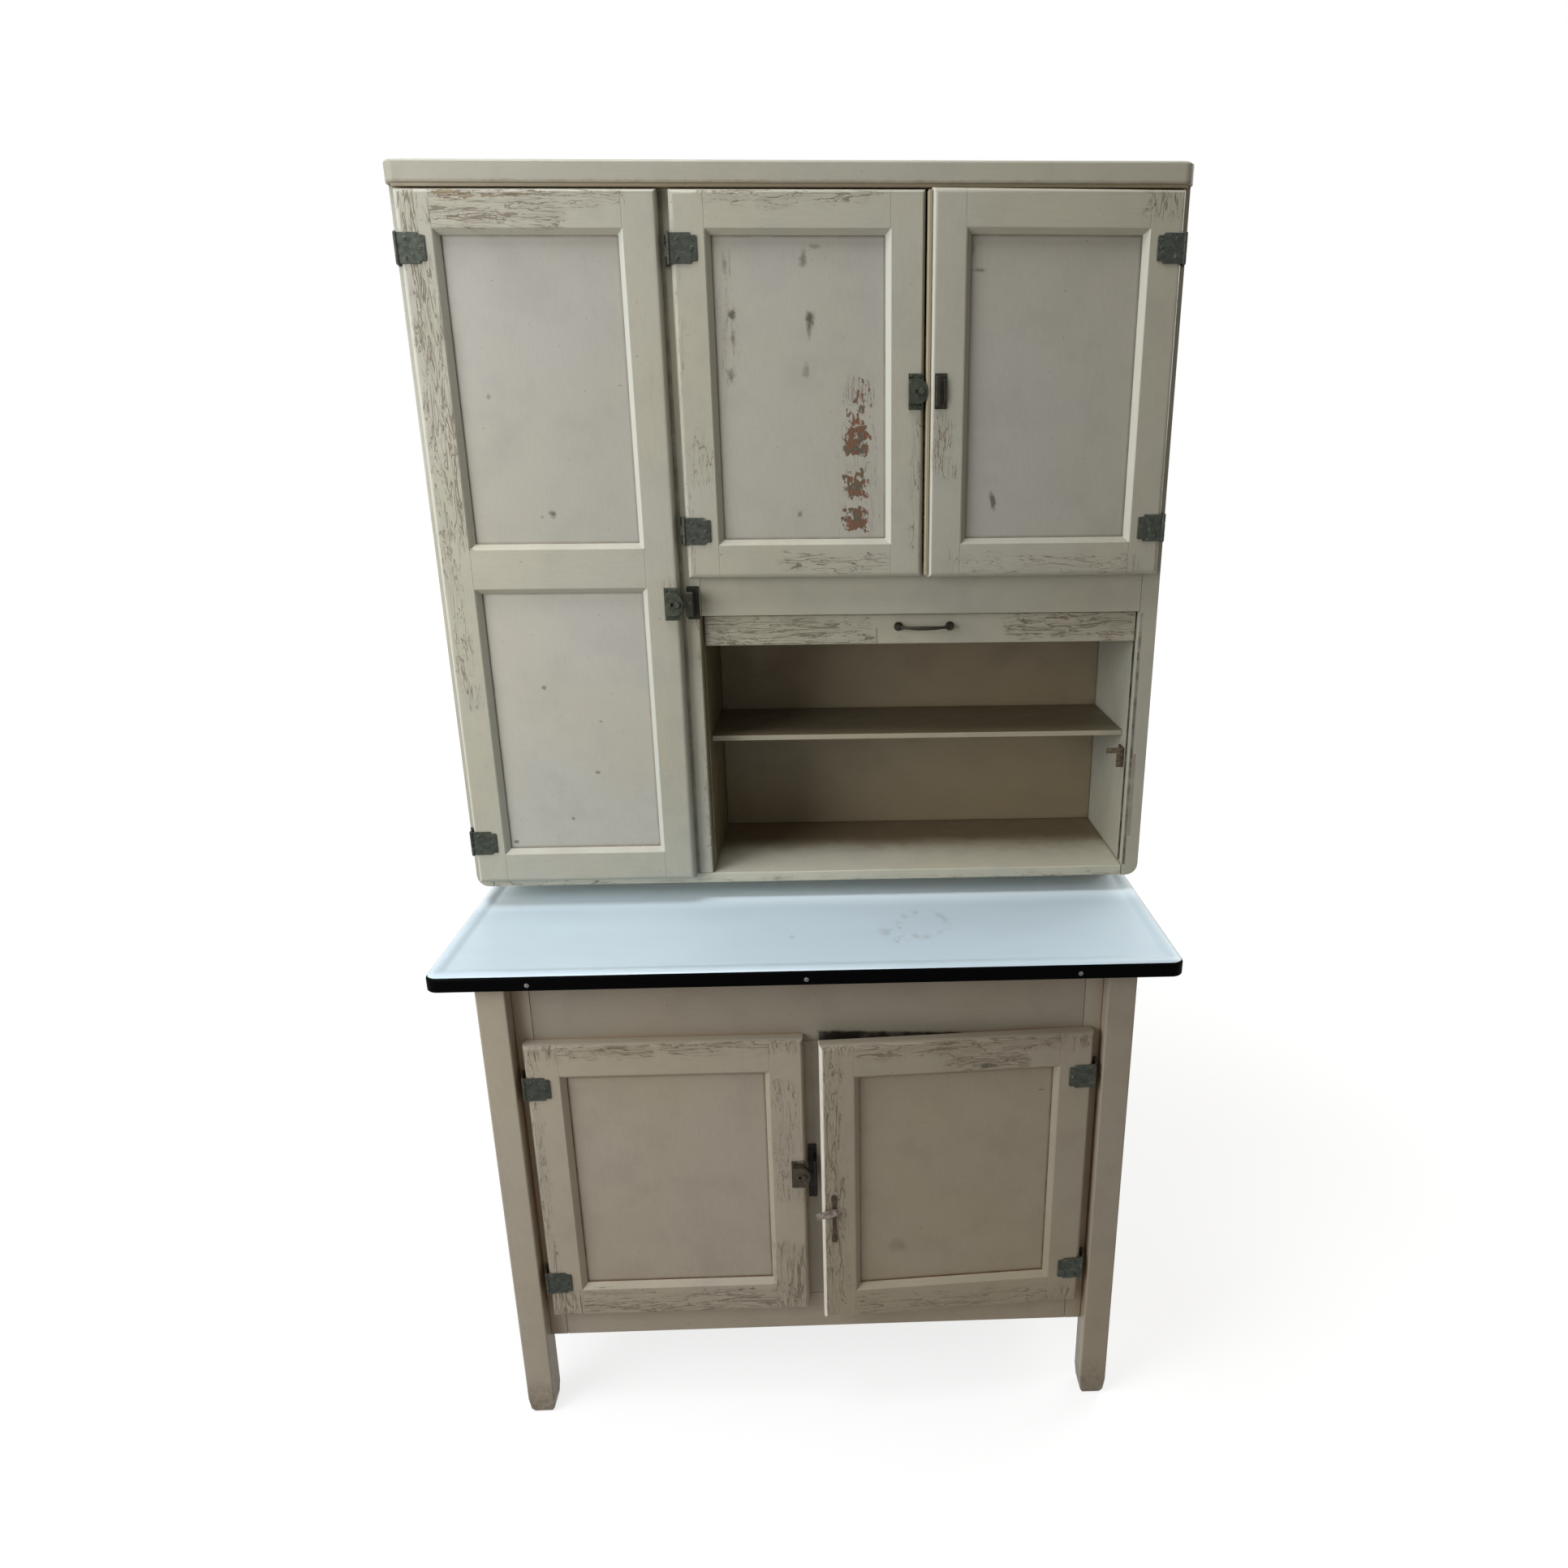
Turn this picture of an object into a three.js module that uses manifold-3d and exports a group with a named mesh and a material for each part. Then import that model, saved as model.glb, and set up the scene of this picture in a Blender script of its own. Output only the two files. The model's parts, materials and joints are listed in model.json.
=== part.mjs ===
import * as THREE from "three";
import { mergeVertices } from "three/addons/utils/BufferGeometryUtils.js";
import Module from "manifold-3d";

// A baker's cabinet in millimetres: a legged base with two doors, an enamelled steel worktop,
// and a hutch with a tall cupboard, two wall-cupboard doors and an open niche with a slatted curtain.
// +x is to the viewer's right, +y towards the wall and +z up, so the doors face -y.
// The origin is on the floor, under the middle of the worktop.

// ---- driving dimensions ----

const fitGap = 0.3; // between pieces that touch
const cutPast = 1; // how far a cut runs past the surface it opens
const roundSides = 14;
const cornerSteps = 5;

// Worktop
const worktopWidth = 1016;
const worktopDepth = 550;
const worktopHeight = 770; // floor to the highest line of the enamel
const worktopCornerRadius = 18;
const enamelRimHeight = 23;
const enamelSheet = 2;
const enamelBorder = 26; // from the outer edge to the flat pan
const enamelRidge = 13; // from the outer edge to the highest line
const enamelRollDrop = 7; // the rolled edge turns down from this far below the ridge
const enamelHollowInset = 5; // the sheet's inside steps in this far under the roll
const enamelSteps = 4;
const rimEdgeRound = 1;
const panDrop = 2.5; // the pan lies this far below the border's ridge
const rimUndercut = 1; // the board stops this far above the rim's lower edge
const plinthSeatDepth = 0.5; // the pan is pressed down this far where the hutch stands
const plinthSeatReach = 0.5; // how far that seat runs into the border

// Base
const baseWidth = 900;
const baseDepth = 510;
const baseFrontSetback = 23; // worktop's front edge to the legs' front
const legSection = 40;
const legEdgeRound = 1.5;
const footHeight = 28;
const footInset = 5.5;
const footShoulderHeight = 8;
const footShoulderInset = 2;
const railSetback = 24; // legs' front to the rails' front
const railThickness = 19;
const baseStileWidth = 25;
const baseCentreStileWidth = 48;
const bottomRailZ = 131;
const bottomRailHeight = 64;
const apronHeight = 113;
const baseSideSetback = 8; // legs' outer face to the side panel
const baseSideThickness = 12;
const baseReturnDepth = 28; // how far the side's front stile reaches back
const baseFloorRise = 19; // bottom rail's lower edge to the floor board
const baseBoardThickness = 16;
const baseShelfRise = 234; // above the floor board
const baseShelfSetback = 60;

// Hutch
const hutchWidth = 1010;
const hutchDepth = 306;
const cabinetHeight = 1768;
const crownThickness = 26;
const crownSideOverhang = 1.5;
const crownFrontOverhang = 17;
const crownCornerRadius = 15;
const crownEdgeRound = 2.5;
const plinthRise = 27.8; // the pan to the case's lower edge
const plinthRail = 22;
const plinthFrontSetback = 71; // case front to the plinth, far enough to hide it
const plinthSeatGap = 2; // between the plinth and the edges of its seat
const hutchSideThickness = 25;
const hutchCornerRadius = 18; // the case's lower outer corners
const hutchFloorThickness = 16;
const backThickness = 6;
const tallCupboardWidth = 295; // between the side and the partition's stile
const partitionStileWidth = 40;
const partitionStileDepth = 22;
const partitionThickness = 20;
const nicheHeight = 391;
const nicheJambRound = 6.5; // the front edges on both sides of the niche
const nicheDepth = 221; // case front to the niche's back
const headerHeight = 73;
const headerThickness = 11;
const shelfThickness = 16;
const nicheShelfRise = 195; // above the niche's floor
const nicheShelfThickness = 8;
const nicheShelfSetback = 48; // case front to the shelf
const cupboardShelfRise = 215; // above the cupboard's floor
const tallShelfRise = 459; // above the tall cupboard's floor

// Doors: frame and panel, lying on the front of the case
const doorThickness = 19;
const doorBackGap = 0.6; // between a shut door and the case
const doorLap = 13; // a door covers this much of what it shuts on
const doorPairGap = 7;
const doorEdgeRound = 7.5;
const hutchDoorReveal = 9.5; // case edge that shows beside the doors
const crownDoorGap = 6;
const tallDoorLap = 2;
const cupboardDoorLap = 19;
const hutchStile = 44;
const hutchRail = 45;
const tallMidRailRise = 460; // middle of the rail, above the tall cupboard's floor
const tallMidRail = 53;
const baseStile = 48;
const baseRail = 49;
const bevelWidth = 7;
const bevelDepth = 8;
const panelRebateDepth = 10; // door face to the panel
const panelRebate = 8; // how far the panel runs behind the frame
const panelThickness = 6;
const rightDoorAjar = 2; // degrees
const baseRightDoorAjar = 3;

// Hinges
const hingeAxisOut = 2; // hinge axis to the door's edge
const hingeAxisFront = 1; // hinge axis to the door's face
const hingeBarrelRadius = 3;
const hingeBarrelHeight = 39;
const hingeLeafHeight = 36;
const hingeLeafReach = 36;
const hingeLeafThickness = 1.6;
const hingeEarLength = 8;
const hingeEarInset = 3;
const hingeUpperInset = 68; // door's upper end to the hinge's middle
const hingeLowerInset = 64;

// Slatted curtain
const curtainSideGap = 1;
const grooveDepth = 6;
const grooveSetback = 14; // case front to the groove
const grooveTopGap = 33; // above the raised slats
const slatThickness = 10;
const slatClearance = 0.4; // in front of and behind a slat in its groove
const slatRelief = 4;
const slatShoulder = 3;
const slatGrip = 4; // how far a slat's end runs into the groove
const slatCount = 16;
const slatHeaderLap = 20; // the shut curtain still reaches this far behind the header
const liftRailHeight = 44;
const liftRailThickness = 14;
const liftRailSetback = 12;
const liftRailHeaderGap = 1;
const liftRailRound = 2.5;
const curtainFloorGap = 1;
const handleOffset = 3.5; // to the right of the niche's middle
const handleRise = 3.5; // above the lift rail's middle
const handleSpan = 72;
const handleFootRadius = 7.5;
const handleFootDepth = 7;
const handleBarRadius = 3.2;
const handleProjection = 20;

// Curtain catch on the niche's right wall
const catchRise = 150; // above the niche's floor
const catchHeight = 30;
const catchArmHeight = 8;
const catchProjection = 27;
const catchStemWidth = 11;
const catchThickness = 3;
const catchFootDepth = 24; // along the wall
const catchBackGap = 3; // groove to the catch

// Latches
const latchPlateWidth = 21;
const latchPlateHeight = 45;
const latchPlateThickness = 1.6;
const latchPlateEdge = 1; // plate to the door's free edge
const latchLobeHeight = 31;
const latchLobeRound = 12; // how far the box's round end bulges
const latchLobeDepth = 9;
const latchLobeReach = 6; // past the door's free edge
const pairLatchReach = 4.5; // the same, where another door is next to it
const latchBoltWidth = 10;
const latchBoltThickness = 4.4;
const latchBoltLength = 17;
const latchNose = 0.7; // how far the bolt's nose stands out of the lobe
const latchTravel = 6;
const latchStemWidth = 4;
const latchKnobRadius = 5;
const latchKnobDepth = 3.5;
const latchClearance = 0.3;
const upperLatchRise = 241; // each latch's height above its door's lower edge
const tallLatchRise = 413;
const baseLatchRise = 245;
const leverPlateInset = 17; // door's free edge to the plate's middle
const leverPlateWidth = 11;
const leverPlateAbove = 27.5; // the plate's reach above the lever's pivot
const leverPlateBelow = 54;
const leverPlateThickness = 1.6;
const leverPearRadius = 8;
const leverRise = 194.5; // pivot above the door's lower edge
const leverLength = 23;
const leverWidth = 9;
const leverThickness = 3.5;
const leverArmGap = 1; // between the plate and the arm
const leverHubRadius = 5;
const leverHubHeight = 4.6;
const leverTilt = 10; // degrees below level

// ---- derived places ----

const worktopHalf = worktopWidth / 2;
const worktopFront = -worktopDepth / 2;
const worktopBack = worktopDepth / 2;
const panZ = worktopHeight - panDrop;
const plinthSeatZ = panZ - plinthSeatDepth;
const plinthSeatHalf = worktopHalf - enamelBorder + plinthSeatReach;
const plinthSeatBack = worktopBack - enamelBorder + plinthSeatReach;
const rimZ = worktopHeight - enamelRimHeight;
const boardTop = panZ - enamelSheet - fitGap;
const boardBottom = rimZ + rimUndercut;
const boardShoulder = worktopHeight - enamelRollDrop - enamelSheet - fitGap;

const baseHalf = baseWidth / 2;
const legFront = worktopFront + baseFrontSetback;
const legBack = legFront + baseDepth;
const legInner = baseHalf - legSection;
const legTop = boardBottom - fitGap;
const apronZ = legTop - apronHeight;
const railFront = legFront + railSetback;
const railBack = railFront + railThickness;
const baseOpening = legInner - baseStileWidth; // half the width between the side stiles
const baseCentreHalf = baseCentreStileWidth / 2;
const bottomRailTop = bottomRailZ + bottomRailHeight;
const baseFloorZ = bottomRailZ + baseFloorRise;
const baseShelfZ = baseFloorZ + baseBoardThickness + baseShelfRise;
const baseSideOuter = baseHalf - baseSideSetback;
const baseSideInner = baseSideOuter - baseSideThickness;
const baseSideFront = legFront + legSection + fitGap;
const baseSideBack = legBack - legSection - fitGap;

const hutchHalf = hutchWidth / 2;
const hutchBack = worktopBack;
const hutchFront = hutchBack - hutchDepth;
const hutchBottom = panZ + plinthRise;
const plinthFront = hutchFront + plinthFrontSetback;
const caseTop = cabinetHeight - crownThickness - fitGap;
const hutchInner = hutchHalf - hutchSideThickness;
const hutchFloorTop = hutchBottom + hutchFloorThickness;
const shelfBack = hutchBack - backThickness - fitGap;
const partitionLeft = -hutchInner + tallCupboardWidth;
const partitionRight = partitionLeft + partitionStileWidth;
const headerZ = hutchFloorTop + nicheHeight;
const headerTop = headerZ + headerHeight;
const nicheBackY = hutchFront + nicheDepth;
const nicheShelfZ = hutchFloorTop + nicheShelfRise;
const cupboardShelfZ = headerTop + cupboardShelfRise;
const tallShelfZ = hutchFloorTop + tallShelfRise;
const tallMidRailZ = hutchFloorTop + tallMidRailRise;
const grooveFront = hutchFront + grooveSetback;
const grooveBack = grooveFront + slatThickness + 2 * slatClearance;

const nicheLeft = partitionRight + fitGap;
const nicheRight = hutchInner - fitGap;
const cupboardBoardFront = grooveBack + fitGap;

// The curtain is drawn raised. Shut, its rail stands on the niche's floor.
const liftRailTop = headerZ - liftRailHeaderGap;
const liftRailBottom = liftRailTop - liftRailHeight;
const shutRailTop = hutchFloorTop + curtainFloorGap + liftRailHeight;
const slatsBottom = liftRailTop + fitGap;
const slatPitch = (headerZ + slatHeaderLap - shutRailTop) / slatCount;
const slatsTop = slatsBottom + slatCount * slatPitch;
const grooveTop = slatsTop + grooveTopGap;

// ---- solids ----

const wasm = await Module();
wasm.setup();

// A closed three.js geometry as a solid that can be cut and joined.
function solid(geometry) {
  const bare = geometry.clone();
  for (const name of Object.keys(bare.attributes)) {
    if (name !== "position") bare.deleteAttribute(name);
  }
  const merged = mergeVertices(bare, 1e-4);
  return new wasm.Manifold(
    new wasm.Mesh({
      numProp: 3,
      vertProperties: merged.attributes.position.array,
      triVerts: new Uint32Array(merged.index.array),
    }),
  );
}

function geometryOf(body) {
  const mesh = body.getMesh();
  const geometry = new THREE.BufferGeometry();
  geometry.setAttribute("position", new THREE.BufferAttribute(mesh.vertProperties, 3));
  geometry.setIndex(new THREE.BufferAttribute(mesh.triVerts, 1));
  geometry.computeVertexNormals();
  return geometry;
}

function join(...geometries) {
  return geometryOf(geometries.map(solid).reduce((whole, next) => whole.add(next)));
}

function cut(geometry, ...tools) {
  return geometryOf(tools.map(solid).reduce((rest, tool) => rest.subtract(tool), solid(geometry)));
}

// A box given as ranges along x, y and z; the x range may run either way.
function block([x0, x1], [y0, y1], [z0, z1]) {
  const box = new THREE.BoxGeometry(Math.abs(x1 - x0), y1 - y0, z1 - z0);
  return box.translate((x0 + x1) / 2, (y0 + y1) / 2, (z0 + z1) / 2);
}

// A closed body through loops of points; every loop has the same number of points.
function loft(loops) {
  const count = loops[0].length;
  const points = loops.flat();
  const faces = [];
  for (let ring = 0; ring + 1 < loops.length; ring++) {
    for (let i = 0; i < count; i++) {
      const a = ring * count + i;
      const b = ring * count + ((i + 1) % count);
      faces.push(a, b, b + count, a, b + count, a + count);
    }
  }
  const last = (loops.length - 1) * count;
  for (let i = 1; i + 1 < count; i++) {
    faces.push(0, i + 1, i);
    faces.push(last, last + i, last + i + 1);
  }
  let volume = 0;
  for (let f = 0; f < faces.length; f += 3) {
    const [a, b, c] = [points[faces[f]], points[faces[f + 1]], points[faces[f + 2]]];
    volume += a.dot(b.clone().cross(c));
  }
  if (volume < 0) faces.reverse();
  const geometry = new THREE.BufferGeometry();
  geometry.setAttribute(
    "position",
    new THREE.Float32BufferAttribute(points.flatMap((p) => [p.x, p.y, p.z]), 3),
  );
  geometry.setIndex(faces);
  return geometry;
}

// A rectangle with round corners, level at height z.
function roundedLoop([x0, x1], [y0, y1], radius, z, steps = cornerSteps) {
  const r = Math.max(radius, fitGap);
  const corners = [
    [x1 - r, y1 - r, 0],
    [x0 + r, y1 - r, 1],
    [x0 + r, y0 + r, 2],
    [x1 - r, y0 + r, 3],
  ];
  return corners.flatMap(([x, y, quarter]) =>
    Array.from({ length: steps + 1 }, (_, i) => {
      const angle = ((quarter + i / steps) * Math.PI) / 2;
      return new THREE.Vector3(x + r * Math.cos(angle), y + r * Math.sin(angle), z);
    }),
  );
}

// An upright rectangle at depth y.
function uprightLoop([x0, x1], [z0, z1], y, inset = 0) {
  const [left, right] = [Math.min(x0, x1) + inset, Math.max(x0, x1) - inset];
  const [low, high] = [z0 + inset, z1 - inset];
  return [
    new THREE.Vector3(left, y, low),
    new THREE.Vector3(right, y, low),
    new THREE.Vector3(right, y, high),
    new THREE.Vector3(left, y, high),
  ];
}

// A board whose front edges are rounded: its face is at y0.
function softBoard(xRange, [y0, y1], zRange, round, steps = 3) {
  const loops = [uprightLoop(xRange, zRange, y1)];
  for (let i = 0; i <= steps; i++) {
    const angle = ((i / steps) * Math.PI) / 2;
    const inset = round * (1 - Math.cos(angle));
    loops.push(uprightLoop(xRange, zRange, y0 + round * (1 - Math.sin(angle)), inset));
  }
  return loft(loops);
}

// An upright outline of [x, z] pairs pulled along y.
function prism(outline, yRange) {
  return loft(yRange.map((y) => outline.map(([x, z]) => new THREE.Vector3(x, y, z))));
}

// A round stud that stands on a face at depth y and narrows towards the viewer.
function stud(radius, height, narrowing, [x, y, z]) {
  const round = new THREE.CylinderGeometry(radius, radius * narrowing, height, roundSides);
  return round.translate(x, y - height / 2, z);
}

// ---- materials ----

const paint = new THREE.MeshStandardMaterial({ color: 0xcac4ae, roughness: 0.55, metalness: 0 });
const innerPaint = new THREE.MeshStandardMaterial({ color: 0xbdb59d, roughness: 0.65, metalness: 0 });
const wood = new THREE.MeshStandardMaterial({ color: 0x9a7650, roughness: 0.7, metalness: 0 });
const enamel = new THREE.MeshStandardMaterial({ color: 0xe2eaee, roughness: 0.2, metalness: 0 });
const hingeMetal = new THREE.MeshStandardMaterial({ color: 0x4c5850, roughness: 0.5, metalness: 0.6 });
const latchMetal = new THREE.MeshStandardMaterial({ color: 0x3a3c36, roughness: 0.5, metalness: 0.7 });

const cabinet = new THREE.Group();

function piece(parent, name, geometry, material) {
  const mesh = new THREE.Mesh(geometry, material);
  mesh.name = name;
  parent.add(mesh);
  return mesh;
}

// ---- base ----

function leg(xSide, y0) {
  const x0 = xSide < 0 ? -baseHalf : legInner;
  const section = (inset, z) => {
    const x1 = x0 + legSection;
    const y1 = y0 + legSection;
    return roundedLoop([x0 + inset, x1 - inset], [y0 + inset, y1 - inset], legEdgeRound, z, 1);
  };
  return loft([
    section(footInset, 0),
    section(footShoulderInset, footShoulderHeight),
    section(0, footHeight),
    section(0, legTop),
  ]);
}

for (const [side, sign] of [["left", -1], ["right", 1]]) {
  piece(cabinet, `leg_front_${side}`, leg(sign, legFront), paint);
  piece(cabinet, `leg_rear_${side}`, leg(sign, legBack - legSection), paint);
}

// A side panel between the legs, with the stile that shows beside the door and turns behind the leg.
const returnBack = railFront + baseReturnDepth;
function baseSide(sign) {
  const z = [bottomRailZ, legTop];
  return join(
    block([sign * baseOpening, sign * (legInner - fitGap)], [railFront, returnBack], z),
    block([sign * baseOpening, sign * baseSideOuter], [baseSideFront, returnBack], z),
    block([sign * baseSideInner, sign * baseSideOuter], [baseSideFront, baseSideBack], z),
  );
}

piece(cabinet, "base_side_left", baseSide(-1), paint);
piece(cabinet, "base_side_right", baseSide(1), paint);

const betweenStiles = [-baseOpening + fitGap, baseOpening - fitGap];
const railDepth = [railFront, railBack];
piece(cabinet, "apron_rail", block(betweenStiles, railDepth, [apronZ, legTop]), paint);
piece(cabinet, "base_bottom_rail", block(betweenStiles, railDepth, [bottomRailZ, bottomRailTop]), paint);
piece(
  cabinet,
  "base_centre_stile",
  block([-baseCentreHalf, baseCentreHalf], railDepth, [bottomRailTop + fitGap, apronZ - fitGap]),
  paint,
);

const backPanelFront = legBack - legSection;
const baseInside = [-baseSideInner + fitGap, baseSideInner - fitGap];
piece(
  cabinet,
  "base_back",
  block([-legInner + fitGap, legInner - fitGap], [backPanelFront, backPanelFront + backThickness],
    [bottomRailZ, legTop]),
  paint,
);
// The floor is notched round the side stiles' returns.
const floorNotch = (sign) =>
  block([sign * (baseOpening - fitGap), sign * baseHalf], [legFront, returnBack + fitGap],
    [baseFloorZ - cutPast, baseFloorZ + baseBoardThickness + cutPast]);
piece(
  cabinet,
  "base_floor",
  cut(
    block(baseInside, [railBack + fitGap, baseSideBack], [baseFloorZ, baseFloorZ + baseBoardThickness]),
    floorNotch(-1),
    floorNotch(1),
  ),
  wood,
);
piece(
  cabinet,
  "base_shelf",
  block(baseInside, [railBack + baseShelfSetback, baseSideBack],
    [baseShelfZ, baseShelfZ + baseBoardThickness]),
  wood,
);

// ---- worktop ----

function worktopLoop(inset, z) {
  const x = [-worktopHalf + inset, worktopHalf - inset];
  const y = [worktopFront + inset, worktopBack - inset];
  return roundedLoop(x, y, worktopCornerRadius - inset, z);
}

// The steel sheet: a black rolled rim, a raised border, a pan that lies a little lower and, at the
// back of the pan, a shallow seat that keeps the hutch from sliding.
function enamelTop() {
  const loops = [worktopLoop(rimEdgeRound, rimZ), worktopLoop(0, rimZ + rimEdgeRound)];
  for (let i = 0; i <= enamelSteps; i++) {
    const angle = ((i / enamelSteps) * Math.PI) / 2;
    const inset = enamelRidge * (1 - Math.cos(angle));
    loops.push(worktopLoop(inset, worktopHeight - enamelRollDrop * (1 - Math.sin(angle))));
  }
  for (const part of [0.5, 1]) {
    const drop = (panDrop * (1 - Math.cos(part * Math.PI))) / 2;
    loops.push(worktopLoop(enamelRidge + (enamelBorder - enamelRidge) * part, worktopHeight - drop));
  }
  const hollow = loft([
    worktopLoop(enamelSheet, rimZ - cutPast),
    worktopLoop(enamelSheet, worktopHeight - enamelRollDrop - enamelSheet),
    worktopLoop(enamelSheet + enamelHollowInset, panZ - enamelSheet),
  ]);
  const seat = block([-plinthSeatHalf, plinthSeatHalf], [plinthFront - plinthSeatGap, plinthSeatBack],
    [plinthSeatZ, worktopHeight]);
  return cut(loft(loops), hollow, seat);
}

piece(cabinet, "worktop_enamel", enamelTop(), enamel);
piece(
  cabinet,
  "worktop_board",
  loft([
    worktopLoop(enamelSheet + fitGap, boardBottom),
    worktopLoop(enamelSheet + fitGap, boardShoulder),
    worktopLoop(enamelSheet + fitGap + enamelHollowInset, boardTop),
  ]),
  wood,
);

// ---- hutch case ----

// The hutch stands on a three-sided plinth in the worktop's seat.
function plinth() {
  const x = plinthSeatHalf - plinthSeatGap;
  const y = [plinthFront, plinthSeatBack - plinthSeatGap];
  const z = [plinthSeatZ + fitGap, hutchBottom - fitGap];
  return join(
    block([-x, x], [plinthFront, plinthFront + plinthRail], z),
    block([-x, -x + plinthRail], y, z),
    block([x - plinthRail, x], y, z),
  );
}

piece(cabinet, "hutch_plinth", plinth(), wood);

// The case's lower outer corner seen from the front, as [x, z] pairs from the bottom up.
function caseCorner(sign) {
  return Array.from({ length: cornerSteps + 1 }, (_, i) => {
    const angle = ((i / cornerSteps) * Math.PI) / 2;
    const x = hutchHalf - hutchCornerRadius * (1 - Math.sin(angle));
    return [sign * x, hutchBottom + hutchCornerRadius * (1 - Math.cos(angle))];
  });
}

// What rounding takes off an upright front edge at x; the board reaches from there to the side of sign.
function jambWaste(x, sign) {
  const r = nicheJambRound;
  const z = [hutchFloorTop - cutPast, headerZ];
  const corner = block([x - sign * cutPast, x + sign * r], [hutchFront - cutPast, hutchFront + r], z);
  const round = new THREE.CylinderGeometry(r, r, z[1] - z[0] + cutPast, 4 * cornerSteps)
    .rotateX(Math.PI / 2)
    .translate(x + sign * r, hutchFront + r, (z[0] + z[1]) / 2);
  return cut(corner, round);
}

function hutchSide(sign) {
  const inner = sign * hutchInner;
  const outline = [[inner, hutchBottom], ...caseCorner(sign), [sign * hutchHalf, caseTop], [inner, caseTop]];
  return prism(outline, [hutchFront, shelfBack]);
}

// The groove that a curtain edge runs in.
function curtainGroove(x0, x1) {
  return block([x0, x1], [grooveFront, grooveBack], [hutchFloorTop, grooveTop]);
}

piece(cabinet, "hutch_side_left", hutchSide(-1), paint);
piece(
  cabinet,
  "hutch_side_right",
  cut(
    hutchSide(1),
    curtainGroove(hutchInner - cutPast, hutchInner + grooveDepth),
    jambWaste(hutchInner, 1),
  ),
  paint,
);
piece(
  cabinet,
  "hutch_floor",
  block([-hutchInner + fitGap, hutchInner - fitGap], [hutchFront, shelfBack], [hutchBottom, hutchFloorTop]),
  paint,
);

const partitionZ = [hutchFloorTop + fitGap, caseTop - fitGap];
const partition = join(
  block([partitionLeft, partitionRight], [hutchFront, hutchFront + partitionStileDepth], partitionZ),
  block([partitionRight - partitionThickness, partitionRight], [hutchFront, shelfBack], partitionZ),
);
piece(
  cabinet,
  "hutch_partition",
  cut(
    partition,
    curtainGroove(partitionRight - grooveDepth, partitionRight + cutPast),
    jambWaste(partitionRight, -1),
  ),
  paint,
);

function crown() {
  const loop = (inset, z) => {
    const half = hutchHalf + crownSideOverhang - inset;
    return roundedLoop([-half, half], [hutchFront - crownFrontOverhang + inset, hutchBack - inset],
      crownCornerRadius, z);
  };
  return loft([
    loop(0, cabinetHeight - crownThickness),
    loop(0, cabinetHeight - crownEdgeRound),
    loop(crownEdgeRound, cabinetHeight),
  ]);
}

piece(cabinet, "hutch_crown", crown(), paint);
const backOutline = [
  ...caseCorner(1),
  [hutchHalf, caseTop],
  [-hutchHalf, caseTop],
  ...caseCorner(-1).reverse(),
];
piece(cabinet, "hutch_back", prism(backOutline, [hutchBack - backThickness, hutchBack]), wood);
piece(
  cabinet,
  "header_rail",
  block([nicheLeft, nicheRight], [hutchFront, hutchFront + headerThickness], [headerZ, headerTop]),
  paint,
);
piece(
  cabinet,
  "cupboard_floor",
  block([nicheLeft, nicheRight], [cupboardBoardFront, shelfBack], [headerTop - shelfThickness, headerTop]),
  innerPaint,
);
piece(
  cabinet,
  "niche_back",
  block([nicheLeft, nicheRight], [nicheBackY, nicheBackY + backThickness],
    [hutchFloorTop + fitGap, headerTop - shelfThickness - fitGap]),
  innerPaint,
);
piece(
  cabinet,
  "niche_shelf",
  block([nicheLeft, nicheRight], [hutchFront + nicheShelfSetback, nicheBackY - fitGap],
    [nicheShelfZ, nicheShelfZ + nicheShelfThickness]),
  innerPaint,
);
piece(
  cabinet,
  "cupboard_shelf",
  block([nicheLeft, nicheRight], [cupboardBoardFront, shelfBack],
    [cupboardShelfZ, cupboardShelfZ + shelfThickness]),
  innerPaint,
);
piece(
  cabinet,
  "tall_shelf",
  block([-hutchInner + fitGap, partitionRight - partitionThickness - fitGap],
    [hutchFront + partitionStileDepth + fitGap, shelfBack], [tallShelfZ, tallShelfZ + shelfThickness]),
  innerPaint,
);

// The curtain's catch is a bent strip: a foot on the niche's right wall, turned in to a stem with an arm.
function curtainCatch() {
  const front = grooveBack + catchBackGap;
  const low = hutchFloorTop + catchRise;
  const high = low + catchHeight;
  const plate = [front, front + catchThickness];
  return join(
    block([nicheRight - catchProjection, nicheRight], plate, [high - catchArmHeight, high]),
    block([nicheRight - catchStemWidth, nicheRight], plate, [low, high]),
    block([nicheRight - catchThickness, nicheRight], [front, front + catchFootDepth], [low, high]),
  );
}

piece(cabinet, "curtain_catch", curtainCatch(), latchMetal);

// ---- slatted curtain, shown raised ----

const curtain = new THREE.Group();
cabinet.add(curtain);
const liftRailFront = hutchFront + liftRailSetback;
const liftRailX = [partitionRight + curtainSideGap, hutchInner - curtainSideGap];
const slatBack = grooveBack - slatClearance;
const slatFront = slatBack - slatThickness;

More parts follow.
